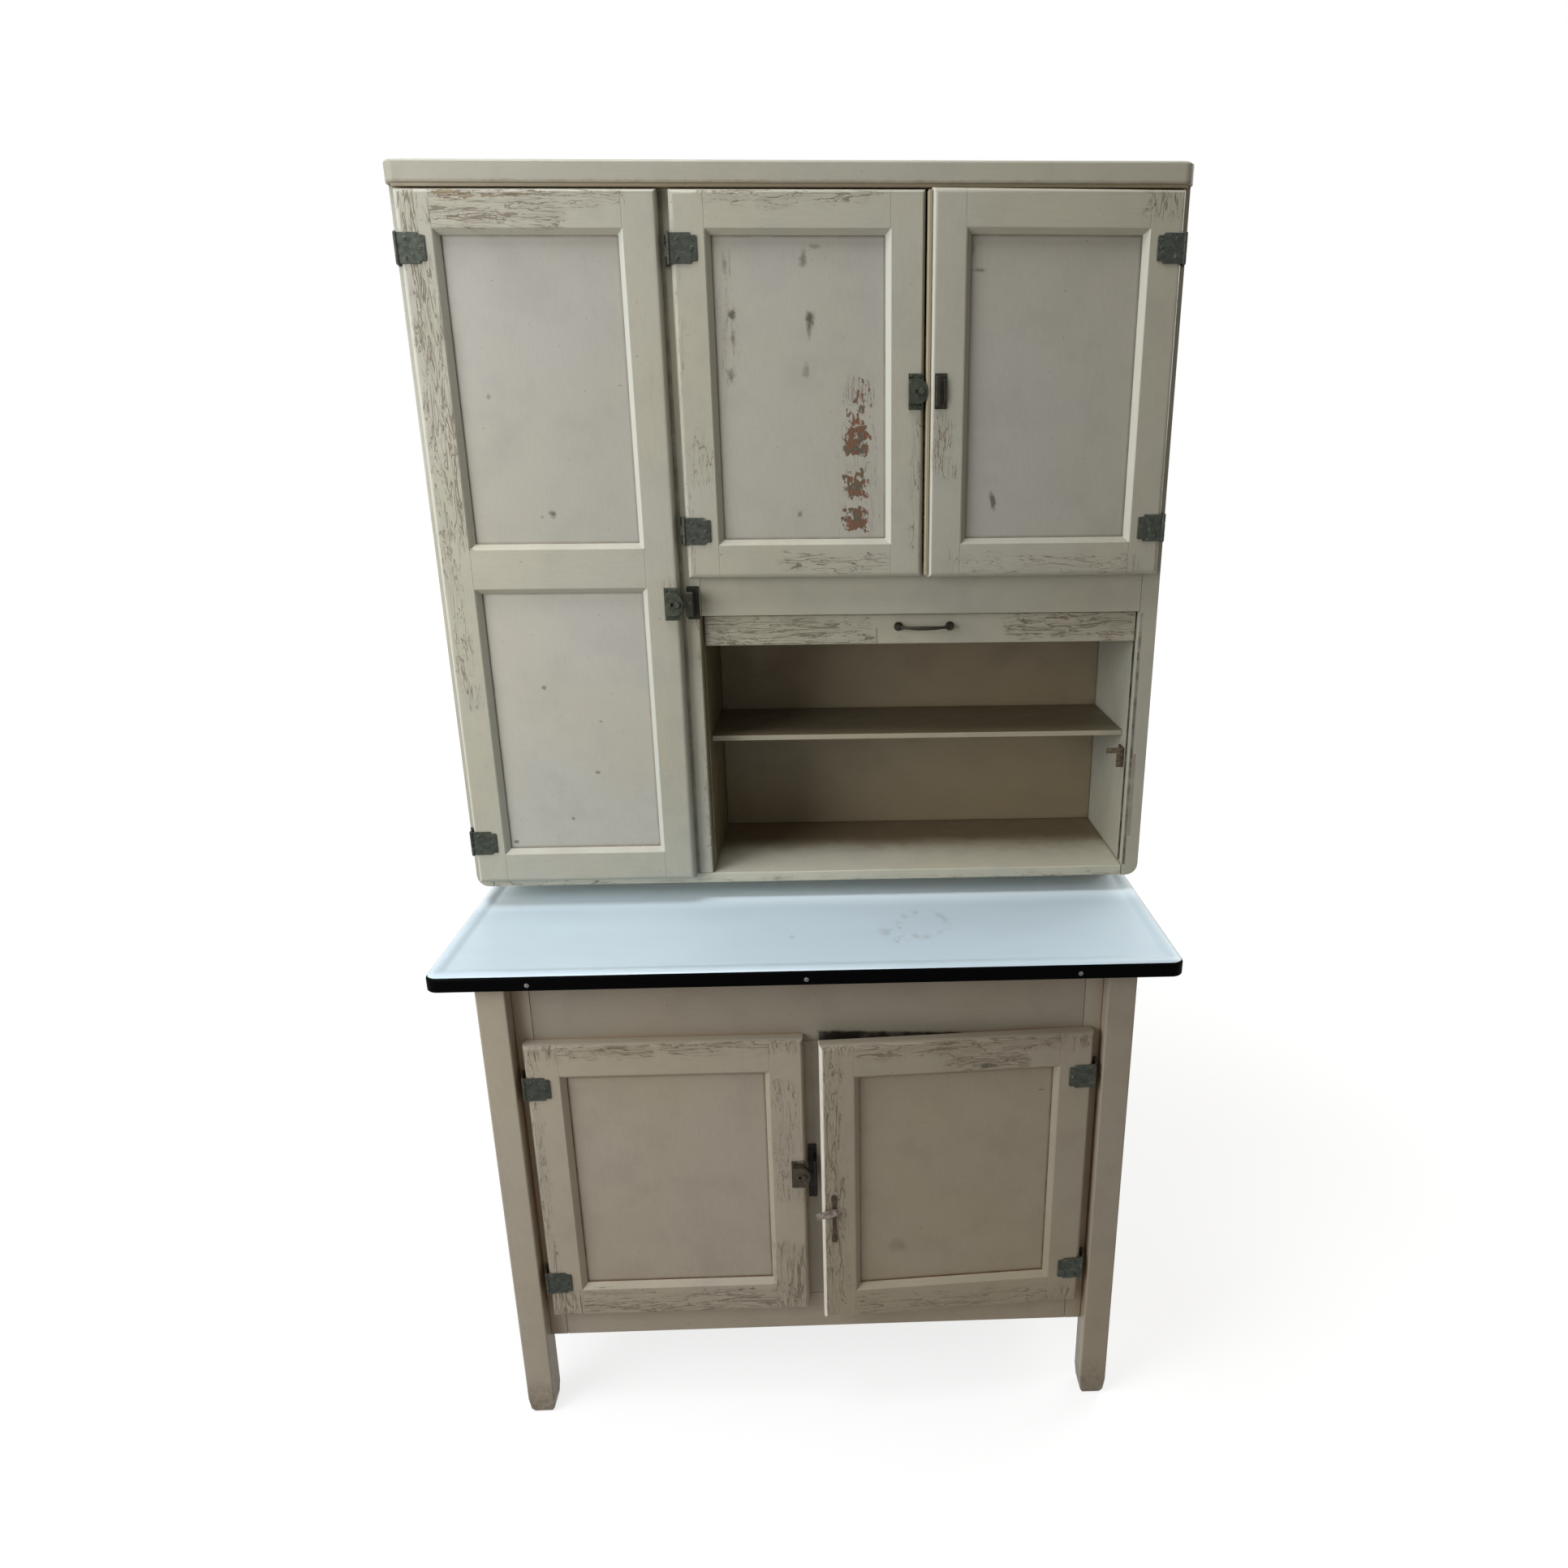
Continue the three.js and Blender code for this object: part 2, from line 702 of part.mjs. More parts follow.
function slats() {
  const front = [];
  for (let i = 0; i < slatCount; i++) {
    const z = slatsBottom + i * slatPitch;
    front.push([slatFront + slatRelief, z]);
    front.push([slatFront, z + slatShoulder]);
    front.push([slatFront, z + slatPitch - slatShoulder]);
  }
  front.push([slatFront + slatRelief, slatsTop]);
  const shape = new THREE.Shape();
  shape.moveTo(slatBack, slatsBottom);
  shape.lineTo(slatBack, slatsTop);
  for (const [y, z] of front.reverse()) shape.lineTo(y, z);
  const x0 = partitionRight - slatGrip;
  const width = hutchInner + slatGrip - x0;
  const pulled = new THREE.ExtrudeGeometry(shape, { depth: width, bevelEnabled: false });
  // The shape's x, y and pull become the cabinet's y, z and x.
  const turn = new THREE.Matrix4().makeBasis(
    new THREE.Vector3(0, 1, 0),
    new THREE.Vector3(0, 0, 1),
    new THREE.Vector3(1, 0, 0),
  );
  return pulled.applyMatrix4(turn).translate(x0, 0, 0);
}

piece(curtain, "curtain_slats", slats(), paint);
piece(
  curtain,
  "curtain_lift_rail",
  softBoard(liftRailX, [liftRailFront, liftRailFront + liftRailThickness], [liftRailBottom, liftRailTop],
    liftRailRound, 2),
  paint,
);

// A slim bar on two round feet.
function handle() {
  const z = (liftRailBottom + liftRailTop) / 2 + handleRise;
  const handleX = (partitionRight + hutchInner) / 2 + handleOffset;
  const face = liftRailFront - fitGap;
  const half = handleSpan / 2;
  const foot = (x) => stud(handleFootRadius, handleFootDepth, 0.7, [x, face, z]);
  // Each place along the bar is a share of half its span, with its distance from the rail.
  const bow = [
    [1, handleFootDepth / 2],
    [0.92, handleFootDepth * 1.6],
    [0.55, handleProjection * 0.92],
  ];
  const right = bow.map(([share, out]) => new THREE.Vector3(handleX + half * share, face - out, z));
  const left = bow.map(([share, out]) => new THREE.Vector3(handleX - half * share, face - out, z));
  const middle = new THREE.Vector3(handleX, face - handleProjection, z);
  const path = new THREE.CatmullRomCurve3([...left, middle, ...right.reverse()]);
  const section = new THREE.Shape();
  section.absarc(0, 0, handleBarRadius, 0, 2 * Math.PI);
  const bar = new THREE.ExtrudeGeometry(section, { steps: 18, curveSegments: 4, extrudePath: path });
  return join(foot(handleX - half), foot(handleX + half), bar);
}

piece(curtain, "curtain_handle", handle(), latchMetal);

// ---- doors ----

// A door hangs in a group whose origin is on its hinge axis. Inside it, u runs from the axis towards
// the free edge, sign gives the side the door reaches to, and the face lies at y = hingeAxisFront.
const faceY = hingeAxisFront;

function doorFrame(door) {
  const { sign, width, z0, z1, openings } = door;
  const across = (u) => sign * (hingeAxisOut + u);
  const slab = softBoard([across(0), across(width)], [faceY, faceY + doorThickness], [z0, z1], doorEdgeRound);
  const tools = openings.flatMap(([u0, u1, low, high]) => {
    const x = [across(u0), across(u1)];
    const slope = bevelWidth / bevelDepth;
    const sight = loft([
      uprightLoop(x, [low, high], faceY - cutPast, -slope * cutPast),
      uprightLoop(x, [low, high], faceY + bevelDepth, bevelWidth),
      uprightLoop(x, [low, high], faceY + doorThickness + cutPast, bevelWidth),
    ]);
    const inset = bevelWidth - panelRebate;
    const rebate = loft([
      uprightLoop(x, [low, high], faceY + panelRebateDepth, inset),
      uprightLoop(x, [low, high], faceY + doorThickness + cutPast, inset),
    ]);
    return [sight, rebate];
  });
  return cut(slab, ...tools);
}

function doorPanel(door, [u0, u1, low, high]) {
  const across = (u) => door.sign * (hingeAxisOut + u);
  const x = [across(u0), across(u1)];
  const inset = bevelWidth - panelRebate + fitGap;
  const front = faceY + panelRebateDepth + fitGap;
  return loft([
    uprightLoop(x, [low, high], front, inset),
    uprightLoop(x, [low, high], front + panelThickness, inset),
  ]);
}

// The leaf lies on the door's face and rolls into the barrel.
function hinge(door, z) {
  const half = hingeLeafHeight / 2;
  const earHalf = half - hingeEarInset;
  const ear = hingeLeafReach - hingeEarLength;
  const leafBack = faceY - fitGap;
  const outline = [
    [0, -half],
    [ear, -half],
    [ear + hingeEarInset, -earHalf],
    [hingeLeafReach, -earHalf],
    [hingeLeafReach, earHalf],
    [ear + hingeEarInset, earHalf],
    [ear, half],
    [0, half],
  ].map(([u, v]) => [door.sign * u, z + v]);
  const leaf = prism(outline, [leafBack - hingeLeafThickness, leafBack]);
  const barrel = new THREE.CylinderGeometry(
    hingeBarrelRadius,
    hingeBarrelRadius,
    hingeBarrelHeight,
    roundSides,
  );
  return join(leaf, barrel.rotateX(Math.PI / 2).translate(0, 0, z));
}

function hangDoor(door) {
  const group = new THREE.Group();
  group.position.set(door.edgeX - door.sign * hingeAxisOut, door.face - hingeAxisFront, 0);
  group.rotation.z = THREE.MathUtils.degToRad(door.ajar ?? 0);
  cabinet.add(group);
  piece(group, `${door.name}_frame`, doorFrame(door), paint);
  door.openings.forEach((opening, i) => {
    const suffix = door.panelNames ? `_${door.panelNames[i]}_panel` : "_panel";
    piece(group, door.name + suffix, doorPanel(door, opening), paint);
  });
  piece(group, `${door.name}_hinge_upper`, hinge(door, door.z1 - hingeUpperInset), hingeMetal);
  piece(group, `${door.name}_hinge_lower`, hinge(door, door.z0 + hingeLowerInset), hingeMetal);
  return group;
}

const hutchDoorFace = hutchFront - doorBackGap - doorThickness;
const baseDoorFace = railFront - doorBackGap - doorThickness;
const hutchDoorTop = caseTop + fitGap - crownDoorGap;
const cupboardDoorBottom = headerTop - cupboardDoorLap;
const tallDoorBottom = hutchFloorTop - tallDoorLap;
const tallWidth = partitionLeft + doorLap + hutchHalf - hutchDoorReveal;
const middleLeft = partitionRight - doorLap;
const rightEdge = hutchHalf - hutchDoorReveal;
const cupboardWidth = (rightEdge - middleLeft - doorPairGap) / 2;
const baseDoorWidth = baseOpening + doorLap - (baseCentreHalf - doorLap);
const baseDoorBottom = bottomRailTop - doorLap;
const baseDoorTop = apronZ + doorLap;

const singleOpening = (width, z0, z1, stile, rail) => [[stile, width - stile, z0 + rail, z1 - rail]];

const tallDoor = {
  name: "tall_door",
  sign: 1,
  edgeX: -hutchHalf + hutchDoorReveal,
  face: hutchDoorFace,
  width: tallWidth,
  z0: tallDoorBottom,
  z1: hutchDoorTop,
  panelNames: ["lower", "upper"],
  openings: [
    [hutchStile, tallWidth - hutchStile, tallDoorBottom + hutchRail, tallMidRailZ - tallMidRail / 2],
    [hutchStile, tallWidth - hutchStile, tallMidRailZ + tallMidRail / 2, hutchDoorTop - hutchRail],
  ],
};
const cupboardDoor = {
  face: hutchDoorFace,
  width: cupboardWidth,
  z0: cupboardDoorBottom,
  z1: hutchDoorTop,
  openings: singleOpening(cupboardWidth, cupboardDoorBottom, hutchDoorTop, hutchStile, hutchRail),
};
const middleDoor = { ...cupboardDoor, name: "middle_door", sign: 1, edgeX: middleLeft };
const rightDoor = { ...cupboardDoor, name: "right_door", sign: -1, edgeX: rightEdge, ajar: rightDoorAjar };
const baseDoor = {
  face: baseDoorFace,
  width: baseDoorWidth,
  z0: baseDoorBottom,
  z1: baseDoorTop,
  openings: singleOpening(baseDoorWidth, baseDoorBottom, baseDoorTop, baseStile, baseRail),
};
const baseLeftDoor = { ...baseDoor, name: "base_left_door", sign: 1, edgeX: -baseOpening - doorLap };
const baseRightDoor = {
  ...baseDoor,
  name: "base_right_door",
  sign: -1,
  edgeX: baseOpening + doorLap,
  ajar: baseRightDoorAjar,
};

const tallGroup = hangDoor(tallDoor);
const middleGroup = hangDoor(middleDoor);
hangDoor(rightDoor);
const baseLeftGroup = hangDoor(baseLeftDoor);
const baseRightGroup = hangDoor(baseRightDoor);

// ---- latches ----

// A latch case: a plate with a D-shaped box that bulges past the door's free edge. Its channel holds
// a bolt, and a slot in its face lets the bolt's thumb knob slide. p is measured from the free edge.
function latchPlaces(door, reach) {
  const back = faceY - fitGap;
  const boltBack = back - latchPlateThickness - latchClearance;
  return {
    across: (p) => door.sign * (hingeAxisOut + door.width + p),
    back,
    lobeFront: back - latchLobeDepth,
    boltBack,
    boltFront: boltBack - latchBoltThickness,
    stem: reach - latchBoltLength / 2,
  };
}

function latchCase(door, z, reach) {
  const { across, back, lobeFront, boltBack, boltFront, stem } = latchPlaces(door, reach);
  const half = latchLobeHeight / 2;
  const straight = reach - latchLobeRound;
  const round = Array.from({ length: 2 * cornerSteps + 1 }, (_, i) => {
    const angle = (i / (2 * cornerSteps) - 0.5) * Math.PI;
    return [across(straight + latchLobeRound * Math.cos(angle)), z + half * Math.sin(angle)];
  });
  const channelStart = reach - latchBoltLength - latchTravel - latchClearance;
  const lobeStart = across(channelStart - latchPlateThickness);
  const lobe = prism([...round, [lobeStart, z + half], [lobeStart, z - half]], [lobeFront, back]);
  const plateHalf = latchPlateHeight / 2;
  const plate = block([across(-latchPlateWidth), across(-latchPlateEdge)],
    [back - latchPlateThickness, back], [z - plateHalf, z + plateHalf]);
  const boltHalf = latchBoltWidth / 2 + latchClearance;
  const channel = block([across(channelStart), across(reach + cutPast)],
    [boltFront - latchClearance, boltBack + latchClearance], [z - boltHalf, z + boltHalf]);
  const stemHalf = latchStemWidth / 2 + latchClearance;
  const slot = block([across(stem - latchTravel - stemHalf), across(stem + stemHalf)],
    [lobeFront - cutPast, boltBack], [z - stemHalf, z + stemHalf]);
  return cut(join(lobe, plate), channel, slot);
}

function latchBolt(door, z, reach) {
  const { across, lobeFront, boltBack, boltFront, stem } = latchPlaces(door, reach);
  const knobBack = lobeFront - latchClearance;
  const half = latchBoltWidth / 2;
  const nose = reach + latchNose;
  const bolt = block([across(nose - latchBoltLength), across(nose)], [boltFront, boltBack],
    [z - half, z + half]);
  const stemHalf = latchStemWidth / 2;
  const post = block([across(stem) - stemHalf, across(stem) + stemHalf], [knobBack - cutPast, boltBack],
    [z - stemHalf, z + stemHalf]);
  const knob = stud(latchKnobRadius, latchKnobDepth, 0.75, [across(stem), knobBack, z]);
  return join(bolt, post, knob);
}

const springLatches = [
  ["tall_latch", tallGroup, tallDoor, tallLatchRise, latchLobeReach],
  ["upper_latch", middleGroup, middleDoor, upperLatchRise, pairLatchReach],
  ["base_latch", baseLeftGroup, baseLeftDoor, baseLatchRise, latchLobeReach],
];
for (const [name, group, door, rise, reach] of springLatches) {
  const z = door.z0 + rise;
  piece(group, `${name}_case`, latchCase(door, z, reach), latchMetal);
  piece(group, `${name}_bolt`, latchBolt(door, z, reach), latchMetal);
}

// The base's right door has a long plate with a pear-shaped foot, and a lever that turns on it.
const leverPivotU = hingeAxisOut + baseRightDoor.width - leverPlateInset;
const leverZ = baseDoorBottom + leverRise;

function leverPlate() {
  const back = faceY - fitGap;
  const half = leverPlateWidth / 2;
  const pearZ = leverZ - leverPlateBelow + leverPearRadius;
  const plateTop = leverZ + leverPlateAbove;
  const strip = block([-half, half], [back - leverPlateThickness, back], [pearZ, plateTop]);
  const pear = stud(leverPearRadius, leverPlateThickness, 1, [0, back, pearZ]);
  return join(strip, pear).translate(-leverPivotU, 0, 0);
}

// The lever points past the door's free edge, a little below level.
function lever() {
  const back = faceY - fitGap - leverPlateThickness - fitGap;
  const armBack = back - leverArmGap;
  const half = leverWidth / 2;
  const arm = block([-leverLength, 0], [armBack - leverThickness, armBack], [-half, half]);
  const tip = stud(half, leverThickness, 1, [-leverLength, armBack, 0]);
  const hub = stud(leverHubRadius, leverHubHeight, 0.8, [0, back, 0]);
  return join(arm, tip, hub)
    .rotateY(-THREE.MathUtils.degToRad(leverTilt))
    .translate(-leverPivotU, 0, leverZ);
}

piece(baseRightGroup, "base_lever_plate", leverPlate(), latchMetal);
piece(baseRightGroup, "base_lever", lever(), latchMetal);

export default cabinet;
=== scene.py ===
import json
import math

import bmesh
import bpy
from mathutils import Matrix, Vector
from mathutils.geometry import tessellate_polygon


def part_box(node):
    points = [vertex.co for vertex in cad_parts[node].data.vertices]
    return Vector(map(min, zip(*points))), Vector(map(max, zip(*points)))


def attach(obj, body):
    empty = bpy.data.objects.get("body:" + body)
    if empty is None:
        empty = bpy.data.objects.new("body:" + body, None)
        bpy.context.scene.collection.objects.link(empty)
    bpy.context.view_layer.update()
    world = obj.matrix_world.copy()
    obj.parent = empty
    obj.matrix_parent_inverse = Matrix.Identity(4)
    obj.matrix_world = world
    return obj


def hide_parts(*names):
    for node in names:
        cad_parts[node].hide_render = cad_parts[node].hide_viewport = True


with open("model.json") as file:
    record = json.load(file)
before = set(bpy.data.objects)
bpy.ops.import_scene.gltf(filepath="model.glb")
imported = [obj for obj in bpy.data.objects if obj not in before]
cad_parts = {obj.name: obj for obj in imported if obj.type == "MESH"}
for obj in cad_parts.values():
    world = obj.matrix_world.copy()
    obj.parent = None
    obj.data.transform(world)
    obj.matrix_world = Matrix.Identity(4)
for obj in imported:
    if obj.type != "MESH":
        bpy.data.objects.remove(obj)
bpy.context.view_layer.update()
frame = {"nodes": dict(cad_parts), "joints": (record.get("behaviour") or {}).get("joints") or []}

# The cabinet's own frame: x to the viewer's right, y to the wall, z up. Lengths are in metres,
# and in millimetres where a name or a comment says so.

NODES = frame["nodes"]
JOINTS = {joint["name"]: joint for joint in frame["joints"]}
SCENE = bpy.context.scene
MM = 0.001
UP = Vector((0, 0, 1))


def linear(rgb):
    """A colour of 0 to 255 as seen on a screen, as the linear colour a shader takes."""
    out = []
    for c in rgb:
        c = c / 255
        out.append(c / 12.92 if c <= 0.04045 else ((c + 0.055) / 1.055) ** 2.4)
    return (*out, 1.0)


def times(rgb, factor):
    return tuple(c * factor for c in rgb)


# ---- camera, light and stage ----

# The camera of the photograph: its frame and focal length in pixels, and where it stood.
IMAGE = 1932
FOCAL = 1318.53
CENTRE = (1069.01, 976.96)
EYE = Vector((0.03535, -1.55306, 1.43336))
YAW, PITCH, ROLL = (math.radians(a) for a in (1.99, -18.10, -0.31))
SENSOR = 36


def add_camera():
    data = bpy.data.cameras.new("camera")
    data.sensor_width = SENSOR
    data.lens = FOCAL * SENSOR / IMAGE
    data.shift_x = (IMAGE / 2 - CENTRE[0]) / IMAGE
    data.shift_y = (CENTRE[1] - IMAGE / 2) / IMAGE
    data.clip_start = 0.05
    camera = bpy.data.objects.new("camera", data)
    aim = Matrix.Rotation(-YAW, 4, "Z") @ Matrix.Rotation(math.pi / 2 + PITCH, 4, "X")
    camera.matrix_world = Matrix.Translation(EYE) @ aim @ Matrix.Rotation(ROLL, 4, "Z")
    SCENE.collection.objects.link(camera)
    SCENE.camera = camera


def add_lamp(name, target, turn, rise, distance, size, power, colour):
    """A soft round lamp aimed at target, turn degrees to the viewer's left and rise degrees up."""
    level = Matrix.Rotation(math.radians(-turn), 3, "Z")
    way = level @ Matrix.Rotation(math.radians(-rise), 3, "X") @ Vector((0, -1, 0))
    data = bpy.data.lights.new(name, "AREA")
    data.shape = "DISK"
    data.size = size
    data.energy = power
    data.color = colour
    lamp = bpy.data.objects.new(name, data)
    lamp.location = Vector(target) + way * distance
    lamp.rotation_euler = way.to_track_quat("Z", "Y").to_euler()
    SCENE.collection.objects.link(lamp)


# ---- node graphs ----


class Graph:
    """The nodes of a material or a world. Each call adds what it names and returns its output."""

    def __init__(self, owner):
        self.owner = owner
        owner.use_nodes = True
        self.tree = owner.node_tree
        self.tree.nodes.clear()

    def node(self, kind, **settings):
        made = self.tree.nodes.new(kind)
        for key, value in settings.items():
            setattr(made, key, value)
        return made

    def put(self, socket, value):
        if isinstance(value, bpy.types.NodeSocket):
            self.tree.links.new(value, socket)
        elif value is not None:
            socket.default_value = value

    def math(self, operation, *values, clamp=False):
        made = self.node("ShaderNodeMath", operation=operation, use_clamp=clamp)
        for socket, value in zip(made.inputs, values):
            self.put(socket, value)
        return made.outputs[0]

    def add(self, a, b):
        return self.math("ADD", a, b)

    def sub(self, a, b):
        return self.math("SUBTRACT", a, b)

    def mul(self, a, b, clamp=False):
        return self.math("MULTIPLY", a, b, clamp=clamp)

    def most(self, values):
        total = values[0]
        for value in values[1:]:
            total = self.math("MAXIMUM", total, value)
        return total

    def rest(self, value, clamp=False):
        return self.math("SUBTRACT", 1.0, value, clamp=clamp)

    def apart(self, a, b):
        return self.math("ABSOLUTE", self.sub(a, b))

    def length(self, a, b):
        return self.math("SQRT", self.add(self.mul(a, a), self.mul(b, b)))

    def place(self):
        return self.node("ShaderNodeTexCoord").outputs["Object"]

    def normal(self):
        return self.parts(self.node("ShaderNodeTexCoord").outputs["Normal"])

    def facing(self):
        """How squarely a point faces the viewer's side of the cabinet, from -1 to 1."""
        return self.mul(self.normal()[1], -1.0)

    def parts(self, vector):
        made = self.node("ShaderNodeSeparateXYZ")
        self.put(made.inputs[0], vector)
        return made.outputs

    def scaled(self, vector, scale, offset=(0, 0, 0)):
        made = self.node("ShaderNodeMapping")
        self.put(made.inputs["Vector"], vector)
        made.inputs["Scale"].default_value = scale
        made.inputs["Location"].default_value = offset
        return made.outputs[0]

    def moved(self, vector, offset):
        return self.scaled(vector, (1, 1, 1), offset)

    def noise(self, vector, scale, detail=2.0, rough=0.5, distortion=0.0):
        made = self.node("ShaderNodeTexNoise")
        self.put(made.inputs["Vector"], vector)
        made.inputs["Scale"].default_value = scale
        made.inputs["Detail"].default_value = detail
        made.inputs["Roughness"].default_value = rough
        made.inputs["Distortion"].default_value = distortion
        return made.outputs[0]

    def ramp(self, value, low, high, to_low=0.0, to_high=1.0):
        made = self.node("ShaderNodeMapRange", interpolation_type="SMOOTHSTEP")
        for socket, number in zip(made.inputs, (value, low, high, to_low, to_high)):
            self.put(socket, number)
        return made.outputs[0]

    def fall(self, value, low, high):
        """1 below low and 0 above high."""
        return self.ramp(value, low, high, 1.0, 0.0)

    def blend(self, share, a, b):
        made = self.node("ShaderNodeMix", data_type="RGBA")
        self.put(made.inputs[0], share)
        self.put(made.inputs[6], a)
        self.put(made.inputs[7], b)
        return made.outputs[2]

    def pick(self, share, a, b):
        """a where share is 0 and b where it is 1, for vectors."""
        made = self.node("ShaderNodeMix", data_type="VECTOR")
        self.put(made.inputs[0], share)
        self.put(made.inputs[4], a)
        self.put(made.inputs[5], b)
        return made.outputs[1]

    def crease(self, reach):
        """0 on open places, towards 1 in corners and gaps."""
        made = self.node("ShaderNodeAmbientOcclusion", samples=8)
        made.inputs["Distance"].default_value = reach
        return self.rest(made.outputs["AO"], clamp=True)

    def edge(self, radius):
        """Near 0 on flat places and larger along sharp edges."""
        bevel = self.node("ShaderNodeBevel", samples=4)
        bevel.inputs["Radius"].default_value = radius
        normal = self.node("ShaderNodeNewGeometry").outputs["Normal"]
        dot = self.node("ShaderNodeVectorMath", operation="DOT_PRODUCT")
        self.put(dot.inputs[0], bevel.outputs[0])
        self.put(dot.inputs[1], normal)
        return self.rest(dot.outputs["Value"], clamp=True)

    def bump(self, height, distance, strength=1.0):
        made = self.node("ShaderNodeBump")
        self.put(made.inputs["Height"], height)
        made.inputs["Distance"].default_value = distance
        made.inputs["Strength"].default_value = strength
        return made.outputs[0]

    def shine(self, colour, roughness, normal=None, metallic=None, specular=0.5):
        made = self.node("ShaderNodeBsdfPrincipled")
        self.put(made.inputs["Base Color"], colour)
        self.put(made.inputs["Roughness"], roughness)
        self.put(made.inputs["Normal"], normal)
        self.put(made.inputs["Metallic"], metallic)
        made.inputs["Specular IOR Level"].default_value = specular
        return self.end(made.outputs[0])

    def seen(self):
        """1 for what the camera and reflections show, 0 for light that falls on the object."""
        path = self.node("ShaderNodeLightPath")
        return self.most([path.outputs["Is Camera Ray"], path.outputs["Is Glossy Ray"]])

    def shader(self, kind, **inputs):
        made = self.node(kind)
        for socket, value in inputs.items():
            made.inputs[socket].default_value = value
        return made.outputs[0]

    def mix(self, share, a, b):
        made = self.node("ShaderNodeMixShader")
        for socket, value in zip(made.inputs, (share, a, b)):
            self.put(socket, value)
        return made.outputs[0]

    def end(self, surface, kind="ShaderNodeOutputMaterial"):
        self.put(self.node(kind).inputs["Surface"], surface)
        return self.owner


def material_graph(name):
    return Graph(bpy.data.materials.new(name))


def patch(g, x, z, reach, soft):
    """1 inside an upright rectangle of (x0, x1, z0, z1) in millimetres, 0 outside it."""
    x0, x1, z0, z1 = times(reach, MM)
    sides = []
    for value, low, high in ((x, x0, x1), (z, z0, z1)):
        half = (high - low) / 2
        sides.append(g.fall(g.apart(value, low + half), half - soft, half + soft))
    return g.mul(*sides)


# ---- materials ----

CREAM = (162, 160, 147)
PANEL = (161, 159, 151)
# LIT_CREAM is a painted highlight for faces that look to the left.
LIT_CREAM = (180, 180, 170)
BASE_CREAM = (162, 154, 139)
BASE_PANEL = (160, 152, 138)
NICHE = (140, 127, 103)
SHELF_TOP = (104, 93, 71)
TAN = (136, 121, 97)
BROWN = (98, 80, 57)
RED_BROWN = (106, 68, 44)
OLIVE = (80, 74, 56)
CRACK = (90, 78, 58)
# GRIME_AND_SHADE and BASE_GRIME_AND_SHADE colour corners, gaps and joints: grime, and painted shade
# in the corners and gaps.
GRIME_AND_SHADE = (92, 80, 58)
BASE_GRIME_AND_SHADE = (148, 112, 72)
RIM_GRIME_AND_SHADE = (96, 74, 48)
SPOT = (56, 50, 36)
DARK = (50, 40, 28)
PAINTED_GAP_SHADOW = (28, 22, 15)
PAINTED_GAP_SHADOW_EDGE = (84, 70, 50)
PAINTED_CHANNEL_SHADOW = (80, 68, 50)
# Crease settings for the base: grime and painted shade in its corners and gaps, in a warm brown
# pale enough to read as shade there.
BASE_DIRT_AND_SHADE = {"crease_dirt_and_shade": 1.0, "dirt_and_shade_tone": BASE_GRIME_AND_SHADE}


def spot(g, x, z, mark, uneven):
    """A ragged round mark of (x, z, half width, half height, amount), in millimetres."""
    mark_x, mark_z, wide, high, amount = mark
    across = g.math("DIVIDE", g.sub(x, mark_x * MM), wide * MM)
    along = g.math("DIVIDE", g.sub(z, mark_z * MM), high * MM)
    return g.mul(g.fall(g.add(g.length(across, along), uneven), 0.15, 1.2), amount)


